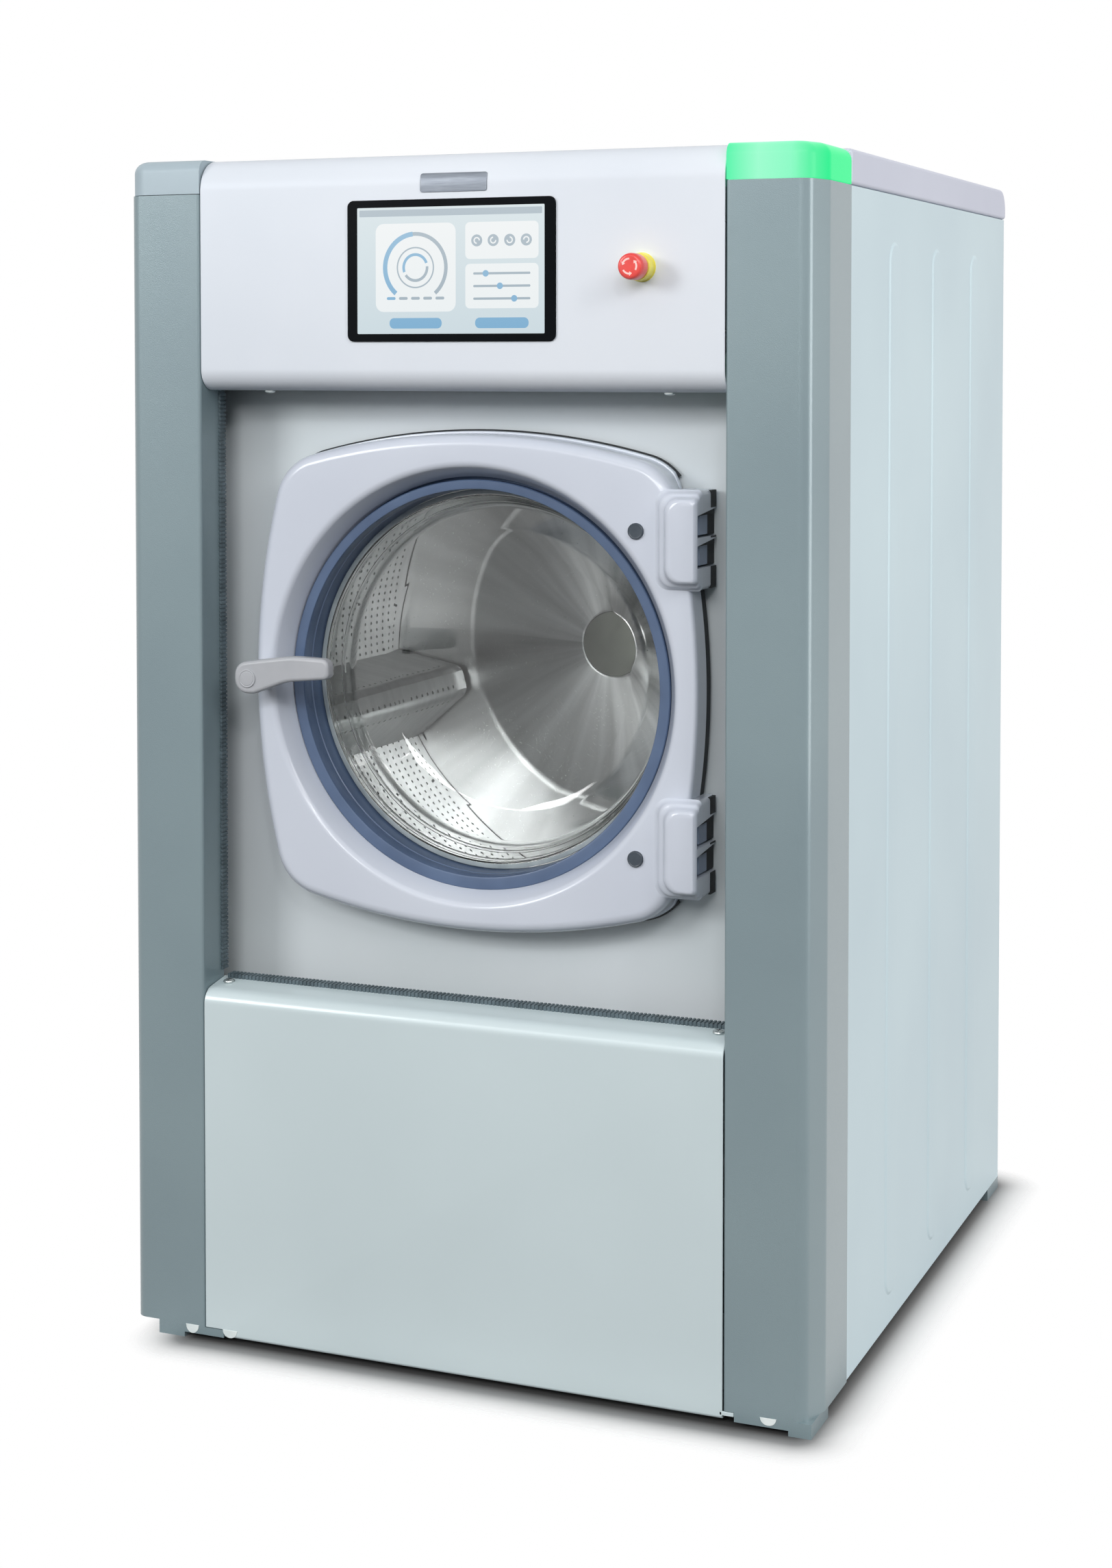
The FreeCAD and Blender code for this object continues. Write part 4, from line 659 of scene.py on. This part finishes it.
def screw(x, y, z, up):
    """A pan head, standing up or hanging down."""
    outline = rounded([(0, 0), (6.5, 0, 0.4), (6.5, 1.8, 1.6), (3.2, 3.2, 1.5), (0, 3.2)], 5)
    rings = []
    for k in range(32):
        angle = math.pi * k / 16
        rings.append([(*polar(x, y, r, angle), z + up * h) for r, h in outline])
    return loft(rings, loop=True)


def screw_cross(x, y, z, up):
    """Painted shade for the cross recess in a screw's head: its dark arms as flat bars on the head."""
    long, short = 3.2, 0.6
    low, high = sorted((z + up * 2.9, z + up * 3.3))
    return joined(
        box_form((x - long, x + long), (y - short, y + short), (low, high)),
        box_form((x - short, x + short), (y - long, y + long), (low, high)),
    )


screw_y = FRONT + 30
screw_places = [(230 * side, screw_y, PANEL_LOW, -1) for side in (-1, 1)]
screw_places += [(284 * side, screw_y, 391.4, 1) for side in (-1, 1)]
screws = joined(*[screw(*place) for place in screw_places])
crosses = joined(*[screw_cross(*place) for place in screw_places])
piece("panel_screws", screws, "cabinet", "machined_steel", look=screw_zinc)
piece("panel_screw_cross_shade", crosses, "cabinet", "machined_steel", look=painted_shade)


def back_screws():
    """Hexagon heads and washers round the service cover and the back panel."""
    places = [(x, z) for x in (-218, -73, 73, 218) for z in (242, 888)]
    places += [(x, z) for x in (-218, 218) for z in (404, 565, 726)]
    places += [(x, z) for x in (-352, 352) for z in (120, 430, 740, 1050, 1220)]
    forms = []
    for x, z in places:
        level = BACK + (SHEET if abs(x) < 300 else 0)
        hexagon = [polar(x, z, 5, k * math.pi / 3) for k in range(6)]
        forms.append(prism(hexagon, level, level + 3.4, "y"))
        washer = [polar(x, z, 7, k * math.pi / 12) for k in range(24)]
        forms.append(prism(washer, level, level + 1.0, "y"))
    return joined(*forms)


piece("back_screws", back_screws(), "cabinet", "machined_steel", look=screw_zinc, edge=0.3)


def half_moon(x, wide, high):
    """A flat-topped half disc at the foot of the front."""
    outline = [(x - wide / 2, FOOT)]
    for k in range(13):
        angle = math.pi * (1 + k / 12)
        outline.append((x + wide / 2 * 0.94 * math.cos(angle), FOOT - 0.6 + high * math.sin(angle)))
    outline.append((x + wide / 2, FOOT))
    return prism(outline, FRONT - 0.5, FRONT + 1.5, "y")


glides = joined(half_moon(-315, 17, 9), half_moon(-268, 19, 8), half_moon(347, 18, 7))
piece("base_glides", glides, "cabinet", "fitting_plastic", look=pale_nylon, edge=0.4)


# Screen and emergency stop


def blank_plate():
    """A bare plate above the screen that follows the start of the panel's bend."""
    rows = [(-10, 35.5), (-9.4, 37.2), (-8, 38), (-4, 38), (0, 38)]
    rows += [(4, 38), (8, 38), (9.4, 37.2), (10, 35.5)]
    section = [(-1, 0.6), (1, 0.6), (1, -1), (-1, -1)]
    bend_z = PANEL_TOP - PANEL_BEND
    rings = []
    for rise, half in rows:
        z = PLATE_Z + rise
        y = FRONT + PANEL_BEND - math.sqrt(PANEL_BEND**2 - max(0.0, z - bend_z) ** 2)
        rings.append([(PLATE_X + side * half, y + depth, z) for side, depth in section])
    return loft(rings)


piece("blank_plate", blank_plate(), "cabinet", "machined_steel", look=plate_alloy, edge=0.4)
bezel = slab(SCREEN_X, SCREEN_Z, 237, 148, 7, 8, FRONT - 2.5, FRONT)
piece("bezel_frame", bezel, "cabinet", "bezel_black", ["touchscreen_bezel"], edge=0.7)
display = slab(SCREEN_X, SCREEN_Z, 213, 132, 1, 3, SCREEN_Y, FRONT - 1)
piece("display_pane", display, "cabinet", "screen_light", ["touchscreen_display"])


def tile(x, z, wide, high, radius):
    """A flat rounded patch on the screen."""
    return slab(x, z, wide, high, radius, 6, SCREEN_Y - 0.1, SCREEN_Y)


def disc(x, z, radius):
    """A flat disc on the screen."""
    return tile(x, z, 2 * radius, 2 * radius, radius - 0.01)


def arc_band(x, z, inner, outer, start, end, lift=0.1):
    """Part of a flat ring on the screen, between two angles in degrees."""
    whole = end - start == 360
    steps = max(6, int((end - start) / 6))
    section = [(inner, SCREEN_Y - lift), (outer, SCREEN_Y - lift), (outer, SCREEN_Y), (inner, SCREEN_Y)]
    rings = []
    for k in range(steps if whole else steps + 1):
        angle = math.radians(start + (end - start) * k / steps)
        rings.append([(x + r * math.cos(angle), y, z + r * math.sin(angle)) for r, y in section])
    return loft(rings, loop=whole)


def raised(form, lift):
    """A screen form raised above the tiles below it."""
    verts, faces = form
    return [(x, y - lift, z) for x, y, z in verts], faces


# Parts of the invented screen picture: a dial, knobs, sliders, small bars and two buttons
dial = (-40, 1172)
column_x, knob_z, slider_z, button_z, bar_z = 58, 1199, 1165, 1114, 1140
screen_whites = [tile(*dial, 92, 92, 9), tile(column_x, knob_z, 82, 38, 5), tile(column_x, 1152, 82, 46, 5)]
screen_greys = [arc_band(*dial, 33, 37, -50, 230, 0.2), tile(SCREEN_X, 1229, 208, 7, 1)]
screen_blues = [arc_band(*dial, 32.5, 37.5, 95, 230, 0.3)]
screen_blues += [tile(x, button_z, 60, 11, 5) for x in (column_x, dial[0])]
for k in range(3):
    row = slider_z - 13 * k
    screen_greys.append(raised(tile(column_x, row, 64, 2.4, 1.1), 0.1))
    screen_blues.append(raised(disc(40 + 16 * k, row, 3.4), 0.2))
for k in range(4):
    knob_x = 30 + 18.5 * k
    screen_greys.append(raised(disc(knob_x, knob_z, 6.2), 0.1))
    screen_whites.append(raised(arc_band(knob_x, knob_z, 2.2, 3.6, 90 * k, 90 * k + 270), 0.2))
for k in range(5):
    screen_greys.append(raised(tile(-68 + 14 * k, bar_z, 10, 3, 1.4), 0.1))
screen_blues.append(raised(tile(-68, bar_z, 10, 3, 1.4), 0.2))
screen_blues.append(raised(arc_band(*dial, 12, 15, 20, 200), 0.2))
screen_greys.append(raised(arc_band(*dial, 12, 15, 215, 365), 0.2))
screen_greys.append(raised(arc_band(*dial, 20, 21.5, 0, 360), 0.2))
piece("screen_tiles", joined(*screen_whites), "cabinet", "screen_light", look=screen_white)
piece("screen_lines", joined(*screen_greys), "cabinet", "screen_light", look=screen_grey)
piece("screen_bars", joined(*screen_blues), "cabinet", "screen_light", look=screen_blue)

collar_outline = rounded([(-14, 7.6), (-14, 13, 0.8), (-11, 14, 0.6), (-2, 14, 1), (0, 15), (0, 7.6)], 4)
collar = turned(collar_outline, STOP_X, STOP_Z, 64)
piece("stop_collar", collar, "cabinet", "stop_yellow", ["estop_collar"])
head_corners = [(-36, 0), (-36, 12.6, 3.2), (-31, 13.5, 2), (-18.5, 13.5, 1.2)]
head_corners += [(-18.5, 7.6), (-28.4, 7.6), (-28.4, 0)]
head = turned(rounded(head_corners, 6), STOP_X, STOP_Z, 72)
piece("stop_head", head, "estop_head", "stop_red", ["estop_head"])


def turn_marks():
    """Three bent arrows round the head's face."""
    span = (STOP_FACE - 0.25, STOP_FACE + 0.5, "y")
    forms = []
    for k in range(3):
        start = 90 + 120 * k
        band = [(6.6, i) for i in range(11)] + [(8.4, i) for i in range(10, -1, -1)]
        outline = [polar(STOP_X, STOP_Z, radius, math.radians(start + 6 * i)) for radius, i in band]
        forms.append(prism(outline, *span))
        tip = [(start + 60, 5.2), (start + 60, 9.8), (start + 82, 7.5)]
        forms.append(prism([polar(STOP_X, STOP_Z, r, math.radians(a)) for a, r in tip], *span))
    return joined(*forms)


piece("stop_marks", turn_marks(), "estop_head", "stop_red", look=stop_mark)


# Door


def bulged(inset):
    """The door's outline as (x, z) from its centre, moved in by an inset."""
    side_c, top_c = DOOR_SIDE - SIDE_R, DOOR_TOP - TOP_R
    side_r, top_r, corner_r = SIDE_R - inset, TOP_R - inset, CORNER_R - inset
    reach_side, reach_top = SIDE_R - CORNER_R, TOP_R - CORNER_R
    gap = math.hypot(side_c, top_c)
    along = (reach_side**2 - reach_top**2 + gap**2) / (2 * gap)
    aside = math.sqrt(reach_side**2 - along**2)
    ux, uz = -side_c / gap, top_c / gap
    cx = side_c + along * ux - aside * uz
    cz = along * uz + aside * ux
    tilt = math.atan2(cz, cx - side_c)
    lean = math.atan2(cz - top_c, cx)
    half_turn = math.pi
    arcs = [
        (side_c, 0, side_r, -tilt, tilt, 44),
        (cx, cz, corner_r, tilt, lean, 22),
        (0, top_c, top_r, lean, half_turn - lean, 44),
        (-cx, cz, corner_r, half_turn - lean, half_turn - tilt, 22),
        (-side_c, 0, side_r, half_turn - tilt, half_turn + tilt, 44),
        (-cx, -cz, corner_r, half_turn + tilt, half_turn + lean, 22),
        (0, -top_c, top_r, half_turn + lean, 2 * half_turn - lean, 44),
        (cx, -cz, corner_r, 2 * half_turn - lean, 2 * half_turn - tilt, 22),
    ]
    points = []
    for x, z, radius, start, end, steps in arcs:
        points += [polar(x, z, radius, start + (end - start) * k / steps) for k in range(steps)]
    return points


def hinge_share(x, start, width):
    """How far a point of the outline lies on the hinge side, from 0 to 1."""
    return min(1.0, max(0.0, (x - start) / width))


def between(outer, inner, share, d):
    """A point of the casting part of the way from one outline to another."""
    (x, z), (inner_x, inner_z) = outer, inner
    return x + (inner_x - x) * share, FRONT + d, DOOR_Z + z + (inner_z - z) * share


def rim_ring(inset, d):
    """The thin rim at the back of the casting, which steps in on the hinge side."""
    pairs = zip(bulged(inset), bulged(inset + UNDERCUT))
    return [between(outer, inner, hinge_share(outer[0], 218, 22), d) for outer, inner in pairs]


def door_ring():
    """The cast ring: rolled outer edge, flat face, rolled lip and inner cone."""
    rim = [(0.0, DOOR_REAR), (0.0, 78.0), (0.7, 76.8), (2.2, 76.4)]
    rings = [rim_ring(inset, d) for inset, d in rim]
    wall_inset, edge_r, tight_edge_r, face_d = 2.4, 13, 5, 39
    wall = [(2.3, 69.0), (wall_inset, 54.0)]
    rings += [[(x, FRONT + d, DOOR_Z + z) for x, z in bulged(inset)] for inset, d in wall]
    face = bulged(15.4)
    for k in range(13):
        angle = math.pi / 2 * k / 12
        ring = []
        for outer, inner in zip(bulged(wall_inset), face):
            radius = edge_r - (edge_r - tight_edge_r) * hinge_share(outer[0], 236, 14)
            share = radius / edge_r * (1 - math.cos(angle))
            ring.append(between(outer, inner, share, face_d + radius * (1 - math.sin(angle))))
        rings.append(ring)
    lip = []
    for k in range(11):
        angle = math.radians(68) * k / 10
        lip.append((239 - 9 * math.sin(angle), 48 - 9 * math.cos(angle)))
    lip += [(WINDOW_R, 62.0), (WINDOW_R, DOOR_REAR)]
    bearing = [math.atan2(z + DOOR_Z - AXIS_Z, x) for x, z in face]
    for radius, d in lip:
        rings.append([(radius * math.cos(a), FRONT + d, AXIS_Z + radius * math.sin(a)) for a in bearing])
    return loft(rings, loop=True)


# Insets and depths up a boss, from the door's back to its crown
BOSS_RISE = [(0.0, DOOR_REAR), (0.0, 41.0), (-1.5, 39.2), (0.5, 38.4), (2.8, 36.6)]
BOSS_RISE += [(4.6, 33.6), (6.2, 31.4), (8.6, 30.4), (11.0, 29.6), (12.8, 27.6)]
BOSS_RISE += [(14.2, 24.0), (15.8, 20.8), (18.4, 18.7), (22.0, 18.0)]


def hinge_boss(middle):
    """A raised housing with two soft steps towards the ring."""
    rings = []
    for inset, d in BOSS_RISE:
        left, half = 212 + inset, 51 - inset * 0.52
        right = 262 - max(0.0, 21.5 - d) * 0.9
        low, high = middle - half, middle + half
        outline = rounded([(left, low, 15), (right, low, 5), (right, high, 5), (left, high, 15)], 10)
        rings.append([(x, FRONT + d, z) for x, z in outline])
    return loft(rings)


def lug_bottoms():
    """The lower level of each hinge lug."""
    return [middle + sign * LUG_SHIFT - LUG_HALF for middle in BOSS_LEVELS for sign in (-1, 1)]


def above_lugs(bottom, right, far):
    """Slots from a height above each lug's bottom up to a slanted edge."""
    forms = []
    start, end = FRONT + 24, FRONT + far
    for low in lug_bottoms():
        outline = [(start, low + bottom), (end, low + bottom), (end, low + 27), (start, low + 20.6)]
        forms.append(prism(outline, 232.8, right, "x"))
    return joined(*forms)


# The openings that let the hinge lugs into the casting and the bosses
lug_slots = above_lugs(-2.0, 275, 90)
piece("door_casting", door_ring(), "door", "door_silver", ["door_frame"], sharp=40, cutters=lug_slots)
for middle, name in zip(BOSS_LEVELS, ("lower_boss", "upper_boss")):
    piece(name, hinge_boss(middle), "door", "door_silver", sharp=50, cutters=lug_slots)


def band_ring(outer, inner, front, rear):
    """The section of a band between two outlines, with its height from the door's centre."""
    (x, z), (inner_x, inner_z) = outer, inner
    corners = [(x, front, z), (x, rear, z), (inner_x, rear, inner_z), (inner_x, front, inner_z)]
    return z, [(a, FRONT + b, DOOR_Z + c) for a, b, c in corners]


def painted_rim_shadow():
    """A thin black band round the back of the rim, painted shadow for the shaded gap behind it, open on the
    hinge side and round the latch.
    """
    pairs = zip(bulged(-1.8), bulged(8.0))
    rings = [band_ring(outer, inner, 82.2, 84.4) for outer, inner in pairs if outer[0] < 224]
    return joined(*[loft([ring for z, ring in rings if side * z > 45]) for side in (1, -1)])


def painted_hinge_gap_shade():
    """Painted shade: black strips behind the casting's hinge side, between the bosses and beside the lugs,
    where the gap to the plate lies in shade.
    """
    pairs = zip(bulged(2.3), bulged(30.0))
    rings = [band_ring(outer, inner, 69.3, 81.6) for outer, inner in pairs if outer[0] > 0]
    forms = [loft([ring for z, ring in rings if abs(z) < 112])]
    for middle in BOSS_LEVELS:
        for low, high in ((-50.4, -27.6), (1.6, 3.4), (32.6, 50.4)):
            forms.append(box_form((250, 262.5), (FRONT + 65.5, FRONT + 81.6), (middle + low, middle + high)))
    return joined(*forms)


piece("painted_rim_shadow", painted_rim_shadow(), "door", "black_rubber", look=painted_shade)
piece("painted_hinge_gap_shade", painted_hinge_gap_shade(), "door", "black_rubber", look=painted_shade)
# Painted shade: black inserts in the slots above the lugs, where the gaps lie in shade
piece("painted_slot_shade", above_lugs(20.2, 260.4, 81.6), "door", "black_rubber", look=painted_shade)
# Painted shade: dark blocks over the lugs' back ends near the plate, where they lie in shade
lug_shade_blocks = [box_form((235.9, 258.1), (FRONT + 66, FRONT + 87.9), (z - 0.6, z + 20.1)) for z in lug_bottoms()]
piece("painted_lug_shade", joined(*lug_shade_blocks), "suspended_unit", "black_rubber", look=painted_shade)


def inner_ring():
    """A satin ring set low in the casting, with a seam in its tube."""
    drop = -1.7
    profile = [(62.8, 219.4, drop), (62.0, 218.4, drop)]
    tube = [(62.0, 209.5), (62.5, 207.9), (64.0, 207.2), (79.0, 207.0), (79.8, 208.0), (81.4, 208.0)]
    tube += [(82.2, 207.0), (110.0, 207.0), (110.0, 210.5), (82.0, 210.5), (82.0, 220.9), (74.0, 220.9)]
    profile += [(d, r, 0.0) for d, r in tube] + [(73.0, 219.4, drop)]
    rings = []
    for k in range(180):
        turn_x, turn_z = math.cos(math.pi * k / 90), math.sin(math.pi * k / 90)
        rings.append([(r * turn_x, FRONT + d, AXIS_Z + rise + r * turn_z) for d, r, rise in profile])
    return loft(rings, loop=True)


piece("inner_ring", inner_ring(), "door", "ring_blue", ["door_inner_ring"])

bowl_corners = [
    (102, 199.6, 2.5, 5),
    (102, 206.8, 2.5, 5),
    (112, 203.6),
    (113.5, 204.0, 1.2),
    (117, 202.8, 1.2),
    (118, 201.4),
    (130, 197.4),
    (131.5, 197.8, 1.2),
    (135, 196.6, 1.2),
    (136, 195.2),
    (146, 192, 14, 20),
    (172, 150, 46, 28),
    (172, 0),
    (166, 0),
    (166, 148.3, 40, 28),
    (142.9, 185.7, 8, 20),
]
bowl = turned(guarded(rounded(bowl_corners, 4)), 0, AXIS_Z, 160)
piece("glass_bowl", bowl, "door", "clear_glass", ["door_glass"])
edge_outline = rounded([(101.4, 200.6, 0.5), (101.4, 205.6, 0.5), (102.4, 205.6), (102.4, 200.6)], 4)
piece("glass_edge", turned(edge_outline, 0, AXIS_Z, 160), "door", "clear_glass", look=ground_edge)

plug_corners = [(36.3, 0), (36.3, 6.6, 0.4), (35.9, 7.4, 0.4), (36.8, 8.5, 1.0), (39.2, 8.5), (39.2, 0)]
plugs = [turned(rounded(plug_corners, 4), 190, z, 48) for z in (561, 900)]
piece("plug_caps", joined(*plugs), "door", "dark_plug", ["door_plugs"])


def lever():
    """The bent lever arm with the hub behind it."""
    r = 16.5
    corners = [
        (-r, -r, 15.5),
        (7, -r, 13),
        (46, -2, 70),
        (97.5, 3, 7),
        (97.5, 24.5, 9),
        (52, 26, 120),
        (2, 19, 60),
        (-r, r - 1, 14.5),
    ]
    outline = rounded([(HANDLE_X + x, HANDLE_Z + z, radius) for x, z, radius in corners], 12)
    hub = rounded([(16, 0), (16, 13), (38.6, 13, 1), (38.6, 0)], 4)
    return joined(prism(outline, FRONT, FRONT + 16, "y"), turned(hub, HANDLE_X, HANDLE_Z, 64))


arm = piece("handle_arm", lever(), "door_handle", "handle_grey", ["handle_lever"], edge=4.2)
arm.modifiers["edge"].segments = 6
disc_corners = [(-1.5, 0), (-1.5, 7.4, 0.3), (-1.1, 7.7, 0.2), (-1.1, 8.3, 0.2), (-1.5, 8.6, 0.3)]
disc_corners += [(-1.5, 10, 0.9), (0.4, 10), (0.4, 0)]
handle_disc = turned(rounded(disc_corners, 4), HANDLE_X, HANDLE_Z, 64)
piece("handle_disc", handle_disc, "door_handle", "handle_grey", ["handle_cap"])


# Drum


def drum_wall(u, v, sink):
    """A point of the drum's inner skin."""
    angle = 2 * math.pi * u
    radius = DRUM_R + SHELL_T * sink
    return radius * math.cos(angle), FRONT + DRUM_START + DRUM_LONG * v, AXIS_Z + radius * math.sin(angle)


def drum_shell():
    """Perforated wall with a smooth front ring."""
    wall = perforated(drum_wall, 224, 25, lambda i, j: 1 <= j <= 23, (0.23, 0.13))
    rim_corners = [(135, 229, 0.8), (135, 315, 2), (147, 327, 4), (150, 327)]
    rim_corners += [(150, 325), (147, 325), (137, 314, 2), (137, 229, 0.8)]
    return joined(wall, turned(rounded(rim_corners, 4), 0, AXIS_Z, 240))


piece("drum_skin", drum_shell(), "drum", "stainless", ["drum_shell"])
# Painted shade: a dark skin just behind the perforated wall, so the holes show the shaded gap behind the
# drum
gap_shade_outline = [(150.2, 327.4), (559, 327.4), (559, 326.9), (150.2, 326.9)]
piece("painted_drum_gap_shade", turned(gap_shade_outline, 0, AXIS_Z, 176), "drum", "stainless", look=painted_shade)

dish_outline = rounded(
    [(558, 325), (558, 223, 30), (475, 40, 16), (475, 0), (479, 0), (479, 42), (562, 225), (562, 325)], 10
)
dish = turned(dish_outline, 0, AXIS_Z, 192)
piece("drum_dish", dish, "drum", "stainless", ["drum_back"], look=drum_turned)
hub_outline = rounded([(474.2, 0), (474.2, 39, 0.4), (475.2, 40), (475.2, 0)], 4)
piece("hub_plate", turned(hub_outline, 0, AXIS_Z, 96), "drum", "stainless", look=hub_painted_reflection)


def lifter(turn):
    """One ridge with a row of holes on its crest and on each flank."""
    base = math.sqrt(DRUM_R**2 - LIFTER_HALF**2)
    crest = [(-LIFTER_TOP, LIFTER_R, 15), (LIFTER_TOP, LIFTER_R, 15)]
    path = rounded([(-LIFTER_HALF, base), *crest, (LIFTER_HALF, base)], 8)
    lengths = [0.0]
    for (a, b), (c, d) in zip(path, path[1:]):
        lengths.append(lengths[-1] + math.hypot(c - a, d - b))

    def ridge(u, v, sink):
        target = u * lengths[-1]
        k = max(i for i in range(len(path) - 1) if lengths[i] <= target + 1e-9)
        share = (target - lengths[k]) / (lengths[k + 1] - lengths[k])
        across = path[k][0] + (path[k + 1][0] - path[k][0]) * share
        radius = path[k][1] + (path[k + 1][1] - path[k][1]) * share + SHELL_T * sink
        angle = math.radians(turn)
        x = across * math.cos(angle) - radius * math.sin(angle)
        z = across * math.sin(angle) + radius * math.cos(angle)
        return x, FRONT + LIFTER_START + LIFTER_LONG * v, AXIS_Z + z

    skin = perforated(ridge, 18, 26, lambda i, j: i in (6, 8, 11) and 2 <= j <= 23, (0.2, 0.16))
    count = 25
    ends = [ridge(k / (count - 1), v, 0.0) for v in (0.0, 1.0) for k in range(count)]
    return joined(skin, (ends, [tuple(range(count)), tuple(range(count, 2 * count))]))


ridges = joined(*[lifter(105 + 120 * k) for k in range(3)])
piece("lifter_ridges", ridges, "drum", "stainless", ["drum_lifters"])


# Studio


def area_lamp(name, place, aim, wide, high, power):
    """A soft rectangular lamp turned towards a point, in metres and watts."""
    data = bpy.data.lights.new(name, "AREA")
    data.shape = "RECTANGLE"
    data.size = wide
    data.size_y = high
    data.energy = power
    lamp = bpy.data.objects.new(name, data)
    lamp.location = place
    lamp.rotation_euler = (Vector(aim) - Vector(place)).to_track_quat("-Z", "Y").to_euler()
    scene.collection.objects.link(lamp)


area_lamp("key", (-2.5, -3.6, 2.2), (0, 0, 0.8), 1.2, 1.1, 55)
area_lamp("front", (0.6, -4.4, 2.5), (0, 0, 0.7), 1.8, 1.2, 51)
area_lamp("soft", (3.0, -3.2, 3.2), (0, 0, 0.7), 2.0, 1.4, 24)
area_lamp("fill", (1.6, -3.3, 2.7), (-0.1, 0, 0.6), 0.35, 0.35, 13)
area_lamp("overhead", (0.3, -2.5, 3.4), (0, 0, 0.6), 1.6, 1.2, 4)
area_lamp("side", (3.6, 0.4, 1.1), (0.3, 0, 0.35), 1.6, 2.2, 55)
area_lamp("strip", (2.57, -1.84, 2.4), (0.38, -0.42, 1.5), 0.2, 0.8, 9)
area_lamp("ridge", (-1.2, -3.6, 2.6), (0, 0, 0.5), 2.6, 0.2, 11)

# The painted contact shadow's footprint: its centre and reach along x and y in metres, and the fall of the
# painted shadow tone outside it
FOOTPRINT = (("X", 0.03, 0.344), ("Y", 0.0, 0.42))
SHADOW_STOPS = [(0.0, "#404040"), (0.3, "#949494"), (0.65, "#DCDCDC"), (1.0, "#FFFFFF")]
SHADOW_REACH = 0.07
FADE_START, FADE_END = 0.02, 0.075
FLOOR_HALF = 900


def floor_look():
    """A painted contact shadow, dark at the machine's foot and paler round it, on a floor that opens to the
    white backdrop further out.
    """
    material = surface("floor_white_painted_shadow", "#F8F8F8", "#FFFFFF", 0.7, 0.0, 0.4, 200.0, 0.0)
    tree = material.node_tree
    shader = tree.nodes["Principled BSDF"]
    parts = tree.nodes.new("ShaderNodeSeparateXYZ")
    tree.links.new(object_place(tree), parts.inputs["Vector"])
    join = tree.nodes.new("ShaderNodeCombineXYZ")
    for axis, centre, reach in FOOTPRINT:
        away = calc(tree, "ABSOLUTE", calc(tree, "SUBTRACT", parts.outputs[axis], centre), 0.0)
        gap = calc(tree, "MAXIMUM", calc(tree, "SUBTRACT", away, reach), 0.0)
        tree.links.new(gap, join.inputs[axis])
    length = tree.nodes.new("ShaderNodeVectorMath")
    length.operation = "LENGTH"
    tree.links.new(join.outputs["Vector"], length.inputs[0])
    distance = length.outputs["Value"]
    painted_shadow_tone = ramp(tree, rescale(tree, distance, 0.0, 1.0, 0.0, SHADOW_REACH), SHADOW_STOPS)
    tree.links.new(painted_shadow_tone, shader.inputs["Base Color"])
    fade = rescale(tree, distance, 0.0, 1.0, FADE_START, FADE_END)
    clear = tree.nodes.new("ShaderNodeBsdfTransparent")
    mix = tree.nodes.new("ShaderNodeMixShader")
    tree.links.new(fade, mix.inputs["Fac"])
    tree.links.new(shader.outputs["BSDF"], mix.inputs[1])
    tree.links.new(clear.outputs["BSDF"], mix.inputs[2])
    tree.links.new(mix.outputs["Shader"], tree.nodes["Material Output"].inputs["Surface"])
    return material


floor_corners = [(a * FLOOR_HALF, b * FLOOR_HALF, 0) for a, b in ((-1, -1), (1, -1), (1, 1), (-1, 1))]
floor = plain_object("floor", (floor_corners, [(0, 1, 2, 3)]))
floor.data.materials.append(floor_look())

# White where the camera, metal or glass sees it, and a dim dome for the rest
world = bpy.data.worlds.new("studio")
scene.world = world
world.use_nodes = True
sky = world.node_tree
shade = sky.nodes["Background"]
shade.inputs["Color"].default_value = (1.0, 1.0, 1.0, 1.0)
path = sky.nodes.new("ShaderNodeLightPath")
seen = calc(sky, "MAXIMUM", path.outputs["Is Camera Ray"], path.outputs["Is Transmission Ray"])
seen = calc(sky, "MAXIMUM", seen, path.outputs["Is Glossy Ray"])
heading = sky.nodes.new("ShaderNodeSeparateXYZ")
sky.links.new(sky.nodes.new("ShaderNodeTexCoord").outputs["Generated"], heading.inputs["Vector"])
dome = rescale(sky, heading.outputs["Z"], 0.03, 0.38, -0.2, 0.25)
sky.links.new(calc(sky, "MAXIMUM", seen, dome), shade.inputs["Strength"])

# The photo's view, fitted to the cabinet's edges; the tilt stands in for part of the lens shift
EYE_PLACE = (1.10767, -2.84568, 1.07747)
EYE_TILT, EYE_TURN = 2.1554, 22.2331
eye = bpy.data.cameras.new("photo_eye")
eye.lens = 58.8041
eye.sensor_width = 36.0
eye.shift_y = -0.21
camera = bpy.data.objects.new("photo_camera", eye)
camera.location = EYE_PLACE
camera.rotation_euler = (math.radians(90 - EYE_TILT), 0.0, math.radians(EYE_TURN))
scene.collection.objects.link(camera)
scene.camera = camera
scene.view_settings.view_transform = "Standard"

bpy.context.view_layer.update()
